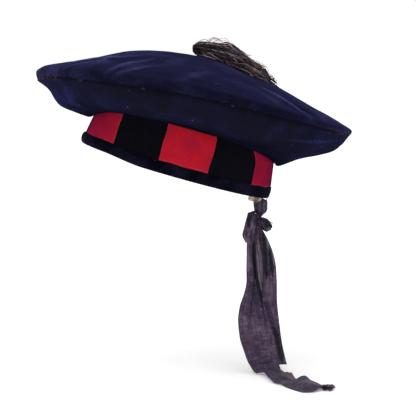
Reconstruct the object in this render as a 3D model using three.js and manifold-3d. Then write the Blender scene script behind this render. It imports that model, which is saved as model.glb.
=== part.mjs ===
// Tam o' shanter: a broad velvet crown on a checked band, with a fringed toorie and a ribbon bow at the back.
// Millimetres, +Z up. The hat is as a head wears it: front towards -X, back towards +X and lower than the front.
// The origin is the middle of the head opening, in the plane of the rim.
import * as THREE from 'three';
import { mergeVertices } from 'three/addons/utils/BufferGeometryUtils.js';
import Module from 'manifold-3d';

const wasm = await Module();
wasm.setup();

// Driving dimensions of the hat
const HEAD_LENGTH = 196;
const HEAD_WIDTH = 158;
const BAND_WALL = 2.5;
const BAND_HEIGHT = 57;
const BAND_STRAIGHT = 14;
const BAND_TAPER = 7;
const RIM_RISE = 3;
const CROWN_LENGTH = 329;
const CROWN_WIDTH = 322;
const CROWN_FORWARD = 1.5;
const CROWN_DEPTH = 65;
const CLOTH = 2;
const PIPING_DIAMETER = 3;
const WORN_TILT = 16;

// Driving dimensions of the band's trimmings
const BINDING_HEIGHT = 12;
const BINDING_BULGE_FRONT = 3.4;
const BINDING_BULGE_BACK = 1.8;
const BINDING_CLOTH = 1.5;
const PATCH_WIDTH = 52;
const PATCH_HEIGHT = 38;
const PATCH_CLOTH = 0.9;
const FRONT_PLAIN = 37;
const BACK_PLAIN = 16;
const TAB_LENGTH = 27;
const TAB_HEIGHT = 15;
const TAB_DROP = 5.5;
const TAB_CLOTH = 1.2;
const TAB_BESIDE = 18;

// Driving dimensions of the ribbon and the toorie
const RIBBON_WIDTH = 38;
const RIBBON = 1;
const RIBBON_EXIT = 173;
const EXIT_CLEARANCE = 1.2;
const KNOT_FORWARD = 6;
const KNOT_DROP = 26;
const KNOT_WIDTH = 10;
const KNOT_HEIGHT = 12;
const BOW_DROP = 20;
const TAIL_DROP = 155.5;
const SHORT_TAIL_DROP = 154;
const TOORIE_LENGTH = 80;
const TOORIE_WIDTH = 42;
const TOORIE_THICKNESS = 27;
const TOORIE_HEAD = 15;
const TOORIE_FORWARD = 7.5;

// Clearance between pieces that touch
const GAP = 0.3;

// Fineness of the faceting
const AROUND = 52;
const PIPE_SIDES = 5;

// Sections of the crown's top, from front (0) to back (180), the same on both sides. Heights are shares of
// CROWN_DEPTH above the band's top edge, at shares of the crown's radius given in TOP_REACH.
const TOP_SECTIONS = [
  { at: 0, quarter: 0.92, half: 0.725, wide: 0.475, shoulder: 0.29, edge: 0.17, lip: 0.06, seam: -0.03 },
  { at: 45, quarter: 0.94, half: 0.79, wide: 0.615, shoulder: 0.5, edge: 0.405, lip: 0.3, seam: 0.17 },
  { at: 90, quarter: 0.975, half: 0.885, wide: 0.785, shoulder: 0.7, edge: 0.62, lip: 0.54, seam: 0.42 },
  { at: 135, quarter: 0.98, half: 0.885, wide: 0.77, shoulder: 0.68, edge: 0.615, lip: 0.55, seam: 0.47 },
  { at: 180, quarter: 0.97, half: 0.855, wide: 0.725, shoulder: 0.64, edge: 0.58, lip: 0.515, seam: 0.455 },
];
const TOP_REACH = { quarter: 0.25, half: 0.5, wide: 0.7, shoulder: 0.85, edge: 0.94, lip: 1.008, seam: 1 };

// Sections of the crown's underside. Each pair is how far out, as a share of the way from band to seam, and how
// high, as a share of CROWN_DEPTH above the band's top edge. low is where the cloth hangs over the band.
const UNDER_SECTIONS = [
  { at: 0, sideOut: 0.79, sideUp: -0.17, bellyOut: 0.61, bellyUp: -0.345, sagOut: 0.36, sagUp: -0.385, lowUp: -0.39 },
  { at: 45, sideOut: 0.83, sideUp: 0.015, bellyOut: 0.67, bellyUp: -0.13, sagOut: 0.39, sagUp: -0.165, lowUp: -0.17 },
  { at: 90, sideOut: 0.88, sideUp: 0.14, bellyOut: 0.72, bellyUp: 0.02, sagOut: 0.41, sagUp: -0.04, lowUp: -0.055 },
  { at: 135, sideOut: 0.88, sideUp: 0.2, bellyOut: 0.69, bellyUp: 0.045, sagOut: 0.39, sagUp: -0.075, lowUp: -0.165 },
  { at: 180, sideOut: 0.885, sideUp: 0.2, bellyOut: 0.655, bellyUp: 0.03, sagOut: 0.375, sagUp: -0.13, lowUp: -0.33 },
];
const LOW_OUT = 0.1;

// Soft folds. A fold runs from one place to another, each an angle round the crown (0 front, 90 near side, 180 back)
// and a share of the way from the middle (top) or the seam (underside). Its breadth and depth are shares of
// CROWN_DEPTH, a positive depth stands out and a negative one sinks in.
const TOP_FOLDS = [
  { turn: 8, run: 0.97, turnEnd: 40, runEnd: 0.42, breadth: 0.13, depth: 0.04 },
  { turn: 22, run: 0.95, turnEnd: 58, runEnd: 0.45, breadth: 0.1, depth: -0.035 },
  { turn: 30, run: 0.93, turnEnd: 72, runEnd: 0.5, breadth: 0.11, depth: 0.038 },
  { turn: 46, run: 0.9, turnEnd: 88, runEnd: 0.55, breadth: 0.12, depth: -0.03 },
  { turn: 160, run: 0.96, turnEnd: 128, runEnd: 0.62, breadth: 0.12, depth: 0.05 },
  { turn: 148, run: 0.97, turnEnd: 112, runEnd: 0.74, breadth: 0.11, depth: -0.04 },
  { turn: 338, run: 0.96, turnEnd: 300, runEnd: 0.45, breadth: 0.12, depth: 0.045 },
  { turn: 310, run: 0.94, turnEnd: 268, runEnd: 0.6, breadth: 0.13, depth: -0.035 },
  { turn: 214, run: 0.96, turnEnd: 238, runEnd: 0.5, breadth: 0.13, depth: 0.045 },
];
const UNDER_FOLDS = [
  { turn: 10, run: 0.1, turnEnd: 22, runEnd: 0.8, breadth: 0.1, depth: 0.045 },
  { turn: 24, run: 0.08, turnEnd: 34, runEnd: 0.7, breadth: 0.09, depth: -0.04 },
  { turn: 40, run: 0.1, turnEnd: 44, runEnd: 0.75, breadth: 0.11, depth: 0.03 },
  { turn: 172, run: 0.12, turnEnd: 140, runEnd: 0.5, breadth: 0.09, depth: -0.05 },
  { turn: 190, run: 0.1, turnEnd: 205, runEnd: 0.8, breadth: 0.12, depth: 0.045 },
  { turn: 332, run: 0.1, turnEnd: 322, runEnd: 0.8, breadth: 0.12, depth: -0.045 },
  { turn: 252, run: 0.1, turnEnd: 262, runEnd: 0.75, breadth: 0.12, depth: 0.035 },
];

// Checks of one side, front to back: how wide each is and how far its start is pulled forward at the top, as shares of
// PATCH_WIDTH. The other side mirrors them. The back ones are narrower, so the band's black shows behind them.
const PATCHES = [
  { name: 'front', width: 1, topPull: 0 },
  { name: 'middle', width: 0.985, topPull: 0 },
  { name: 'back', width: 0.74, topPull: 0.17 },
];

// Ribbon pieces, as rows of cross-sections. down is a share of the piece's drop below the knot (BOW_DROP for the
// loops), right and near are the middle's place from the knot, towards +X and -Y, breadth is the gathered width and
// pleat the depth of its pleats, all as shares of RIBBON_WIDTH. turn is the angle of the width from +X towards +Y,
// lift its slope upwards.
const LONG_TAIL = [
  { down: 0.03, right: -0.02, near: -0.1, breadth: 0.16, pleat: 0.02, turn: 0, lift: 0 },
  { down: 0.14, right: -0.1, near: -0.18, breadth: 0.28, pleat: 0.045, turn: 0, lift: 0 },
  { down: 0.23, right: -0.11, near: -0.19, breadth: 0.3, pleat: 0.05, turn: 4, lift: 0 },
  { down: 0.33, right: -0.145, near: -0.05, breadth: 0.24, pleat: 0.045, turn: 6, lift: 0 },
  { down: 0.42, right: -0.105, near: 0.06, breadth: 0.34, pleat: 0.05, turn: 0, lift: 0 },
  { down: 0.5, right: -0.1, near: 0.12, breadth: 0.46, pleat: 0.045, turn: -4, lift: 0 },
  { down: 0.57, right: -0.09, near: 0.15, breadth: 0.68, pleat: 0.035, turn: 0, lift: 0 },
  { down: 0.66, right: -0.055, near: 0.18, breadth: 0.86, pleat: 0.025, turn: 6, lift: 0 },
  { down: 0.77, right: 0.035, near: 0.24, breadth: 0.97, pleat: 0.015, turn: 12, lift: 0 },
  { down: 0.86, right: 0.14, near: 0.3, breadth: 1, pleat: 0.01, turn: 22, lift: 0 },
  { down: 0.94, right: 0.235, near: 0.37, breadth: 1, pleat: 0.01, turn: 34, lift: 0 },
  { down: 0.99, right: 0.335, near: 0.49, breadth: 0.98, pleat: 0.01, turn: 42, lift: 0 },
  { down: 0.996, right: 0.48, near: 0.83, breadth: 0.7, pleat: 0.035, turn: 34, lift: 0 },
  { down: 0.988, right: 0.57, near: 1.24, breadth: 0.78, pleat: 0.04, turn: 46, lift: 5 },
  { down: 0.98, right: 0.66, near: 1.58, breadth: 0.95, pleat: 0.02, turn: 56, lift: 8 },
  { down: 0.996, right: 0.81, near: 1.86, breadth: 0.92, pleat: 0.03, turn: 60, lift: 0 },
  { down: 0.984, right: 0.97, near: 2.27, breadth: 1, pleat: 0.01, turn: 70, lift: 8 },
  { down: 0.972, right: 1.16, near: 2.68, breadth: 1, pleat: 0.01, turn: 80, lift: 13 },
  { down: 0.986, right: 1.43, near: 2.76, breadth: 0.78, pleat: 0.02, turn: 82, lift: 9 },
  { down: 0.994, right: 1.6, near: 2.78, breadth: 0.36, pleat: 0.03, turn: 76, lift: 2 },
  { down: 0.996, right: 1.7, near: 2.8, breadth: 0.09, pleat: 0, turn: 66, lift: 0 },
  { down: 0.988, right: 1.78, near: 2.85, breadth: 0.2, pleat: 0.02, turn: 60, lift: 10 },
  { down: 0.994, right: 1.86, near: 2.93, breadth: 0.12, pleat: 0, turn: 60, lift: 0 },
];
const SHORT_TAIL = [
  { down: 0.03, right: 0.05, near: 0.06, breadth: 0.18, pleat: 0.02, turn: 0, lift: 0 },
  { down: 0.14, right: 0.16, near: 0.1, breadth: 0.4, pleat: 0.05, turn: -4, lift: 0 },
  { down: 0.27, right: 0.26, near: 0.04, breadth: 0.49, pleat: 0.06, turn: -6, lift: 0 },
  { down: 0.42, right: 0.26, near: -0.08, breadth: 0.55, pleat: 0.05, turn: -6, lift: 0 },
  { down: 0.57, right: 0.27, near: -0.11, breadth: 0.62, pleat: 0.035, turn: -4, lift: 0 },
  { down: 0.74, right: 0.33, near: -0.13, breadth: 0.68, pleat: 0.035, turn: 0, lift: 0 },
  { down: 0.84, right: 0.4, near: -0.15, breadth: 0.72, pleat: 0.035, turn: 4, lift: 0 },
  { down: 0.92, right: 0.46, near: -0.17, breadth: 0.74, pleat: 0.03, turn: 6, lift: 0 },
  { down: 1, right: 0.54, near: -0.18, breadth: 0.75, pleat: 0.03, turn: 6, lift: 0 },
];
const LEFT_LOOP = [
  { down: -0.08, right: -0.02, near: 0.03, breadth: 0.16, pleat: 0.02, turn: 20, lift: 0 },
  { down: -0.38, right: -0.1, near: 0.1, breadth: 0.18, pleat: 0.03, turn: 16, lift: 0 },
  { down: -0.51, right: -0.16, near: 0.17, breadth: 0.2, pleat: 0.03, turn: 12, lift: 0 },
  { down: -0.3, right: -0.19, near: 0.25, breadth: 0.24, pleat: 0.035, turn: 8, lift: 0 },
  { down: 0.15, right: -0.22, near: 0.28, breadth: 0.28, pleat: 0.035, turn: 6, lift: 0 },
  { down: 0.68, right: -0.245, near: 0.26, breadth: 0.3, pleat: 0.03, turn: 4, lift: 0 },
  { down: 1.02, right: -0.225, near: 0.18, breadth: 0.26, pleat: 0.02, turn: 4, lift: 0 },
  { down: 0.98, right: -0.21, near: 0.09, breadth: 0.25, pleat: 0.02, turn: 4, lift: 0 },
  { down: 0.53, right: -0.2, near: 0.05, breadth: 0.24, pleat: 0.025, turn: 4, lift: 0 },
  { down: 0.08, right: -0.15, near: 0.03, breadth: 0.2, pleat: 0.025, turn: 8, lift: 0 },
  { down: -0.11, right: -0.05, near: -0.05, breadth: 0.16, pleat: 0.02, turn: 8, lift: 0 },
];
const RIGHT_LOOP = [
  { down: -0.04, right: 0.02, near: 0.06, breadth: 0.12, pleat: 0.015, turn: -50, lift: 70 },
  { down: -0.14, right: 0.13, near: 0.1, breadth: 0.17, pleat: 0.02, turn: -50, lift: 65 },
  { down: -0.14, right: 0.25, near: 0.13, breadth: 0.2, pleat: 0.025, turn: -50, lift: 55 },
  { down: 0.09, right: 0.34, near: 0.13, breadth: 0.2, pleat: 0.02, turn: -50, lift: 40 },
  { down: 0.27, right: 0.36, near: 0.06, breadth: 0.19, pleat: 0.015, turn: -50, lift: 30 },
  { down: 0.26, right: 0.29, near: 0, breadth: 0.18, pleat: 0.015, turn: -50, lift: 40 },
  { down: 0.09, right: 0.16, near: -0.03, breadth: 0.15, pleat: 0.015, turn: -50, lift: 60 },
  { down: -0.04, right: 0.03, near: -0.03, breadth: 0.12, pleat: 0.015, turn: -50, lift: 70 },
];

// How each piece is made from its table: its drop, its rows of facets and its pleats
const RIBBON_PIECES = [
  { name: 'bow_loop_left', rows: LEFT_LOOP, drop: BOW_DROP, steps: 18, pleats: 1 },
  { name: 'bow_loop_right', rows: RIGHT_LOOP, drop: BOW_DROP, steps: 12, pleats: 1 },
  { name: 'ribbon_tail_long', rows: LONG_TAIL, drop: TAIL_DROP, steps: 36, pleats: 2 },
  { name: 'ribbon_tail_short', rows: SHORT_TAIL, drop: SHORT_TAIL_DROP, steps: 18, pleats: 2 },
];

// The gathered ribbon between the rim and the bow, a row for each round section: down is a share of KNOT_DROP, right
// and near are its middle's place from the knot and wide and deep its half sizes, as shares of RIBBON_WIDTH.
const NECK = [
  { down: 0.1, right: 0.18, near: 0, wide: 0.02, deep: 0.11 },
  { down: 0.2, right: 0.16, near: 0.01, wide: 0.05, deep: 0.1 },
  { down: 0.28, right: 0.12, near: 0.02, wide: 0.11, deep: 0.13 },
  { down: 0.42, right: 0.1, near: 0.02, wide: 0.135, deep: 0.16 },
  { down: 0.58, right: 0.085, near: 0.01, wide: 0.11, deep: 0.12 },
  { down: 0.7, right: 0.06, near: 0, wide: 0.06, deep: 0.07 },
  { down: 0.88, right: 0.02, near: 0, wide: 0.06, deep: 0.06 },
];
// How far inside the band the ribbon's end reaches above the rim
const NECK_HOLD = 12;

// The toorie's middle line, from its tied head to its tip, over the crown. along is a share of TOORIE_LENGTH towards
// +X, rise how high the line lies above the head's middle, as a share of TOORIE_THICKNESS, and size its fullness.
const TOORIE_LINE = [
  { along: 0, rise: 0, size: 0.45 },
  { along: 0.15, rise: -0.1, size: 0.56 },
  { along: 0.34, rise: -0.25, size: 0.78 },
  { along: 0.54, rise: -0.52, size: 0.95 },
  { along: 0.74, rise: -0.96, size: 1 },
  { along: 0.9, rise: -1.32, size: 0.78 },
  { along: 1, rise: -1.56, size: 0.48 },
];
// Locks of the toorie: where each lies in the bundle's cross-section (-1 to 1 across and up), and its length.
const TOORIE_LOCKS = [
  { across: -0.82, up: -0.3, reach: 0.88 },
  { across: -0.46, up: 0.4, reach: 0.94 },
  { across: -0.42, up: -0.65, reach: 0.98 },
  { across: 0, up: 0.55, reach: 0.91 },
  { across: 0, up: -0.3, reach: 1 },
  { across: 0.44, up: 0.38, reach: 0.96 },
  { across: 0.44, up: -0.66, reach: 0.95 },
  { across: 0.84, up: -0.3, reach: 0.86 },
];

// How far the locks spread, and how wide and thick each is, as shares of TOORIE_WIDTH and TOORIE_THICKNESS
const LOCK_SPREAD = { across: 0.36, up: 0.4 };
const LOCK_SIZE = { across: 0.2, up: 0.29 };

const degrees = THREE.MathUtils.degToRad;

// Catmull-Rom value between b and c at share t, with neighbours a and d
function smooth(a, b, c, d, t) {
  const bend = (2 * a - 5 * b + 4 * c - d) * t * t + (3 * b - 3 * c + d - a) * t * t * t;
  return b + 0.5 * ((c - a) * t + bend);
}

// A column of a table of equally spaced sections, front to back, at any angle round the hat
function around(sections, column, turn) {
  const last = sections.length - 1;
  const place = (Math.acos(Math.cos(turn)) / Math.PI) * last;
  const i = Math.min(Math.floor(place), last - 1);
  const at = (k) => sections[last - Math.abs(last - Math.abs(k))][column];
  return smooth(at(i - 1), at(i), at(i + 1), at(i + 2), place - i);
}

// A column of a table of rows, at a share of the way through it
function alongRows(rows, column, share) {
  const last = rows.length - 1;
  const place = share * last;
  const i = Math.min(Math.floor(place), last - 1);
  const at = (k) => rows[Math.max(0, Math.min(last, k))][column];
  return smooth(at(i - 1), at(i), at(i + 1), at(i + 2), place - i);
}

// The band's outer face, upright at the rim and narrowing towards the top at front and back. out is measured
// outwards from that face, and the rim rises at the front.
function bandPoint(turn, up, out) {
  const rimRise = RIM_RISE * THREE.MathUtils.smoothstep(Math.cos(turn), 0.35, 0.8) * (1 - up / BAND_HEIGHT);
  const rise = Math.max(0, up - BAND_STRAIGHT) / (BAND_HEIGHT - BAND_STRAIGHT);
  const lean = BAND_TAPER * rise * Math.cos(turn) ** 2;
  const halfLength = HEAD_LENGTH / 2 + BAND_WALL + out - lean;
  const halfWidth = HEAD_WIDTH / 2 + BAND_WALL + out;
  return new THREE.Vector3(-halfLength * Math.cos(turn), -halfWidth * Math.sin(turn), up + rimRise);
}

// A point above the crown's plan, at a share of its radius and a share of CROWN_DEPTH above the band
function crownPoint(turn, reach, rise) {
  const x = -reach * (CROWN_LENGTH / 2) * Math.cos(turn) - CROWN_FORWARD;
  const y = -reach * (CROWN_WIDTH / 2) * Math.sin(turn);
  return new THREE.Vector3(x, y, BAND_HEIGHT + rise * CROWN_DEPTH);
}

function seamPoint(turn) {
  return crownPoint(turn, TOP_REACH.seam, around(TOP_SECTIONS, 'seam', turn));
}

// The top's middle line from the crown's middle to the seam
function topLine(turn) {
  const points = [crownPoint(turn, 0, 1)];
  for (const name of Object.keys(TOP_REACH)) {
    points.push(crownPoint(turn, TOP_REACH[name], around(TOP_SECTIONS, name, turn)));
  }
  return new THREE.CatmullRomCurve3(points, false, 'centripetal');
}

// How far out of the band the underside's middle keeps, to clear the checks, and where it stops hanging over the band
const OVER_CHECKS = GAP + PATCH_CLOTH + GAP + CLOTH / 2;
function hangHeight(turn) {
  const low = BAND_HEIGHT + around(UNDER_SECTIONS, 'lowUp', turn) * CROWN_DEPTH;
  return Math.min(low + CLOTH, BAND_HEIGHT - 1.5 * CLOTH);
}

// The underside's middle line from the seam, over the belly and the sag, to where it meets the band
function underLine(turn) {
  const row = (column) => around(UNDER_SECTIONS, column, turn);
  const outTo = (share, rise) => {
    const point = bandPoint(turn, BAND_HEIGHT, 0).lerp(seamPoint(turn), share);
    return point.setZ(BAND_HEIGHT + rise * CROWN_DEPTH);
  };
  const points = [
    seamPoint(turn),
    outTo(row('sideOut'), row('sideUp')),
    outTo(row('bellyOut'), row('bellyUp')),
    outTo(row('sagOut'), row('sagUp')),
    outTo(LOW_OUT, row('lowUp')),
    bandPoint(turn, hangHeight(turn), OVER_CHECKS + CLOTH / 2),
  ];
  return new THREE.CatmullRomCurve3(points, false, 'centripetal');
}

// Behind the hang the underside goes up the band and turns in over the band's top edge
function underSeat(turn) {
  const onTop = BAND_HEIGHT + GAP + CLOTH / 2;
  return [
    bandPoint(turn, BAND_HEIGHT - CLOTH / 2, OVER_CHECKS),
    bandPoint(turn, onTop, GAP + CLOTH / 2),
    bandPoint(turn, onTop, -BAND_WALL),
  ];
}

// How far the folds push the cloth out at a place
function foldOffset(folds, turn, run) {
  let push = 0;
  for (const fold of folds) {
    const share = (run - fold.run) / (fold.runEnd - fold.run);
    const middle = degrees(fold.turn + (fold.turnEnd - fold.turn) * share);
    const angle = Math.atan2(Math.sin(turn - middle), Math.cos(turn - middle));
    const away = (angle * CROWN_LENGTH * 0.5 * Math.max(run, 0.3)) / (fold.breadth * CROWN_DEPTH);
    const fade = Math.sin(Math.PI * THREE.MathUtils.clamp(share, 0, 1));
    push += fold.depth * CROWN_DEPTH * Math.exp(-away * away) * fade;
  }
  return push;
}

// Unit normals of a grid of points, closed around or open
function gridNormals(rows, closed) {
  const columns = rows[0].length;
  const last = rows.length - 1;
  const column = (j) => (closed ? (j + columns) % columns : Math.max(0, Math.min(columns - 1, j)));
  return rows.map((row, i) =>
    row.map((_, j) => {
      const down = rows[Math.min(i + 1, last)][j].clone().sub(rows[Math.max(i - 1, 0)][j]);
      const next = row[column(j + 1)].clone().sub(row[column(j - 1)]);
      if (next.length() < 1e-6) return new THREE.Vector3(0, 0, 1);
      return down.cross(next).normalize();
    }),
  );
}

// A closed body from vertices and triangles, turned so that its faces point outwards
function bodyOf(points, triangles) {
  let volume = 0;
  for (const [a, b, c] of triangles) {
    volume += points[a].dot(points[b].clone().cross(points[c]));
  }
  const order = volume < 0 ? triangles.map(([a, b, c]) => [a, c, b]) : triangles;
  const geometry = new THREE.BufferGeometry();
  geometry.setAttribute('position', new THREE.Float32BufferAttribute(points.flatMap((p) => p.toArray()), 3));
  geometry.setIndex(order.flat());
  const merged = mergeVertices(geometry, 1e-4);
  const kept = [];
  for (let i = 0; i < merged.index.count; i += 3) {
    const [a, b, c] = [0, 1, 2].map((k) => merged.index.getX(i + k));
    if (a !== b && b !== c && c !== a) kept.push(a, b, c);
  }
  merged.setIndex(kept);
  merged.computeVertexNormals();
  return merged;
}

// Cloth of an even thickness about a middle surface, given as rows of points. closed rows run all the way round, and
// a first row that is a single place closes the cloth there.
function clothBody(rows, thickness, { closed = false } = {}) {
  const normals = gridNormals(rows, closed);
  const columns = rows[0].length;
  const pole = rows[0][0].distanceTo(rows[0][1]) < 1e-6;
  const points = [];
  for (const side of [1, -1]) {
    rows.forEach((row, i) =>
      row.forEach((point, j) => {
        points.push(point.clone().addScaledVector(normals[i][j], (side * thickness) / 2));
      }),
    );
  }
  const index = (side, i, j) => (side * rows.length + i) * columns + (j % columns);
  const triangles = [];
  const quad = (a, b, c, d) => triangles.push([a, b, c], [a, c, d]);
  const strips = closed ? columns : columns - 1;
  for (let j = 0; j < strips; j += 1) {
    for (let i = 0; i < rows.length - 1; i += 1) {
      quad(index(0, i, j), index(0, i, j + 1), index(0, i + 1, j + 1), index(0, i + 1, j));
      quad(index(1, i, j), index(1, i + 1, j), index(1, i + 1, j + 1), index(1, i, j + 1));
    }
    const last = rows.length - 1;
    quad(index(0, last, j), index(0, last, j + 1), index(1, last, j + 1), index(1, last, j));
    if (!pole) quad(index(0, 0, j), index(1, 0, j), index(1, 0, j + 1), index(0, 0, j + 1));
  }
  if (!closed) {
    const far = columns - 1;
    for (let i = 0; i < rows.length - 1; i += 1) {
      quad(index(0, i, 0), index(0, i + 1, 0), index(1, i + 1, 0), index(1, i, 0));
      quad(index(0, i, far), index(1, i, far), index(1, i + 1, far), index(0, i + 1, far));
    }
  }
  return bodyOf(points, triangles);
}

// A body through closed section loops, either with flat ends or running round to its own start
function loftBody(loops, ring) {
  const sides = loops[0].length;
  const points = loops.flat();
  const triangles = [];
  const index = (i, j) => (i % loops.length) * sides + (j % sides);
  const spans = ring ? loops.length : loops.length - 1;
  for (let i = 0; i < spans; i += 1) {
    for (let j = 0; j < sides; j += 1) {
      triangles.push([index(i, j), index(i + 1, j), index(i + 1, j + 1)]);
      triangles.push([index(i, j), index(i + 1, j + 1), index(i, j + 1)]);
    }
  }
  if (!ring) {
    for (let j = 1; j < sides - 1; j += 1) {
      triangles.push([0, j, j + 1]);
      triangles.push([index(spans, 0), index(spans, j + 1), index(spans, j)]);
    }
  }
  return bodyOf(points, triangles);
}

const turns = Array.from({ length: AROUND }, (_, j) => (2 * Math.PI * j) / AROUND);

// Rows of a crown panel: shares of the middle line, less what the piping takes at the seam, with its folds
function panelRows(lineAt, shares, folds, seamFirst) {
  const lines = turns.map(lineAt);
  const pipe = PIPING_DIAMETER / 2 + GAP;
  const rows = shares.map((share) =>
    lines.map((line) => {
      const cut = pipe / line.getLength();
      return line.getPointAt(seamFirst ? cut + share * (1 - cut) : share * (1 - cut));
    }),
  );
  const normals = gridNormals(rows, true);
  return rows.map((row, i) =>
    row.map((point, j) => point.clone().addScaledVector(normals[i][j], foldOffset(folds, turns[j], shares[i]))),
  );
}

function crownTopRows() {
  const shares = [0, 0.12, 0.26, 0.4, 0.53, 0.65, 0.75, 0.84, 0.91, 0.974, 1];
  return panelRows(topLine, shares, TOP_FOLDS, false);
}

function crownTop() {
  return clothBody(crownTopRows(), CLOTH, { closed: true });
}

function crownUnderside() {
  const shares = [0, 0.11, 0.23, 0.37, 0.53, 0.7, 0.87, 1];
  const rows = panelRows(underLine, shares, UNDER_FOLDS, true);
  const seats = turns.map(underSeat);
  for (let k = 0; k < seats[0].length; k += 1) rows.push(seats.map((seat) => seat[k]));
  return clothBody(rows, CLOTH, { closed: true });
}

function edgePiping() {
  const radius = PIPING_DIAMETER / 2;
  const loops = turns.map((turn) => {
    const middle = seamPoint(turn);
    const outwards = new THREE.Vector3(middle.x, middle.y, 0).normalize();
    return Array.from({ length: PIPE_SIDES }, (_, k) => {
      const angle = (2 * Math.PI * k) / PIPE_SIDES;
      const point = middle.clone().addScaledVector(outwards, radius * Math.cos(angle));
      return point.setZ(middle.z + radius * Math.sin(angle));
    });
  });
  return loftBody(loops, true);
}

// A ring round the hat. Its section at each turn is a list of places: how far out of the band's outer face, and how
// high.
function bandRing(sectionAt) {
  return loftBody(turns.map((turn) => sectionAt(turn).map(({ out, up }) => bandPoint(turn, up, out))), true);
}

function headband() {
  const foot = BINDING_CLOTH + GAP;
  return bandRing(() => [
    { out: 0, up: foot },
    { out: 0, up: BAND_STRAIGHT },
    { out: 0, up: BAND_HEIGHT },
    { out: -BAND_WALL, up: BAND_HEIGHT },
    { out: -BAND_WALL, up: BAND_STRAIGHT },
    { out: -BAND_WALL, up: foot },
  ]);
}

// The velvet binding folds round the band's lower edge and bulges outside
function rimBinding() {
  const inside = -BAND_WALL - GAP;
  const lining = inside - BINDING_CLOTH;
  return bandRing((turn) => {
    const bulge = BINDING_BULGE_BACK + (BINDING_BULGE_FRONT - BINDING_BULGE_BACK) * (0.5 + 0.5 * Math.cos(turn));
    return [
      { out: GAP, up: BINDING_HEIGHT },
      { out: 0.7 * bulge, up: 0.94 * BINDING_HEIGHT },
      { out: bulge, up: 0.6 * BINDING_HEIGHT },
      { out: 0.8 * bulge, up: 0.2 * BINDING_HEIGHT },
      { out: 0, up: 0 },
      { out: lining, up: 0 },
      { out: lining, up: 0.75 * BINDING_HEIGHT },
      { out: inside, up: 0.75 * BINDING_HEIGHT },
      { out: inside, up: BINDING_CLOTH },
      { out: GAP, up: BINDING_CLOTH },
    ];
  });
}

// How far it is along the band's outer face from one turn to another
function faceLength(from, to) {
  const steps = Math.ceil((to - from) / degrees(1));
  const at = (k) => bandPoint(from + ((to - from) * k) / steps, 0, 0);
  return Array.from({ length: steps }, (_, k) => at(k).distanceTo(at(k + 1))).reduce((sum, length) => sum + length, 0);
}

// The angle round the hat at a distance along the band's outer face from its front middle
function turnAt(distance) {
  const step = degrees(1);
  let turn = 0;
  let left = distance;
  let next = faceLength(turn, turn + step);
  while (next < left) {
    left -= next;
    turn += step;
    next = faceLength(turn, turn + step);
  }
  return turn + (step * left) / next;
}

// From the front edge of one check to the front edge of the next, so that they share out the band evenly
function checkSpacing() {
  const room = faceLength(0, Math.PI) - FRONT_PLAIN / 2 - BACK_PLAIN / 2 - PATCH_WIDTH;
  return room / (PATCHES.length - 1);
}

// A red check on the band. Its first edge is pulled forward towards the top by topPull.
function checkPatch(row, number, side) {
  const start = FRONT_PLAIN / 2 + number * checkSpacing();
  const end = start + row.width * PATCH_WIDTH;
  const low = BINDING_HEIGHT + GAP;
  const rises = [0, (BAND_STRAIGHT - low) / PATCH_HEIGHT, 0.5, 1];
  const rows = rises.map((rise) => {
    const first = start - row.topPull * PATCH_WIDTH * rise * rise;
    return Array.from({ length: 9 }, (_, k) => {
      const turn = side * turnAt(first + ((end - first) * k) / 8);
      return bandPoint(turn, low + rise * PATCH_HEIGHT, GAP + PATCH_CLOTH / 2);
    });
  });
  return clothBody(rows, PATCH_CLOTH);
}

// A short length of the tape inside the band hangs below the rim at the back
function liningTab() {
  const inside = -BAND_WALL - GAP - BINDING_CLOTH - GAP - TAB_CLOTH / 2;
  const middle = degrees(RIBBON_EXIT - TAB_BESIDE);
  const half = TAB_LENGTH / 2 / (HEAD_WIDTH / 2);
  const rows = [1, 0.6, 0.3, 0].map((share) =>
    [-1, -0.5, 0, 0.5, 1].map((place) => {
      const ragged = 0.16 * TAB_HEIGHT * place * place;
      return bandPoint(middle + half * place, -TAB_DROP + ragged + share * (TAB_HEIGHT - ragged), inside);
    }),
  );
  return clothBody(rows, TAB_CLOTH);
}

// Worn place of a point of the hat's own frame
function worn(point) {
  return point.clone().applyAxisAngle(new THREE.Vector3(0, 1, 0), degrees(WORN_TILT));
}

// The ribbon comes out of the rim at the back, from between the binding and the head
const RIBBON_INSIDE = -BAND_WALL - GAP - BINDING_CLOTH - EXIT_CLEARANCE - RIBBON;
const ribbonExit = worn(bandPoint(degrees(RIBBON_EXIT), 0, RIBBON_INSIDE));
const knot = ribbonExit.clone().add(new THREE.Vector3(-KNOT_FORWARD, 0, -KNOT_DROP));

// A gathered ribbon through its table of cross-sections. steps is how many rows to make, folds how many pleats.
function ribbonBody(table, drop, steps, folds) {
  const across = 4 * folds;
  const place = (share) =>
    new THREE.Vector3(
      knot.x + alongRows(table, 'right', share) * RIBBON_WIDTH,
      knot.y - alongRows(table, 'near', share) * RIBBON_WIDTH,
      knot.z - alongRows(table, 'down', share) * drop,
    );
  const rows = [];
  for (let i = 0; i <= steps; i += 1) {
    const share = i / steps;
    const turn = degrees(alongRows(table, 'turn', share));
    const lift = degrees(alongRows(table, 'lift', share));
    const width = new THREE.Vector3(Math.cos(lift) * Math.cos(turn), Math.cos(lift) * Math.sin(turn), Math.sin(lift));
    const ahead = place(Math.min(1, share + 0.01)).sub(place(Math.max(0, share - 0.01)));
    const face = width.clone().cross(ahead).normalize();
    const breadth = alongRows(table, 'breadth', share) * RIBBON_WIDTH;
    const pleat = alongRows(table, 'pleat', share) * RIBBON_WIDTH;
    rows.push(
      Array.from({ length: across + 1 }, (_, k) => {
        const side = k / across - 0.5;
        const point = place(share).addScaledVector(width, side * breadth);
        return point.addScaledVector(face, pleat * Math.sin(2 * Math.PI * folds * side));
      }),
    );
  }
  return clothBody(rows, RIBBON);
}

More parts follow.
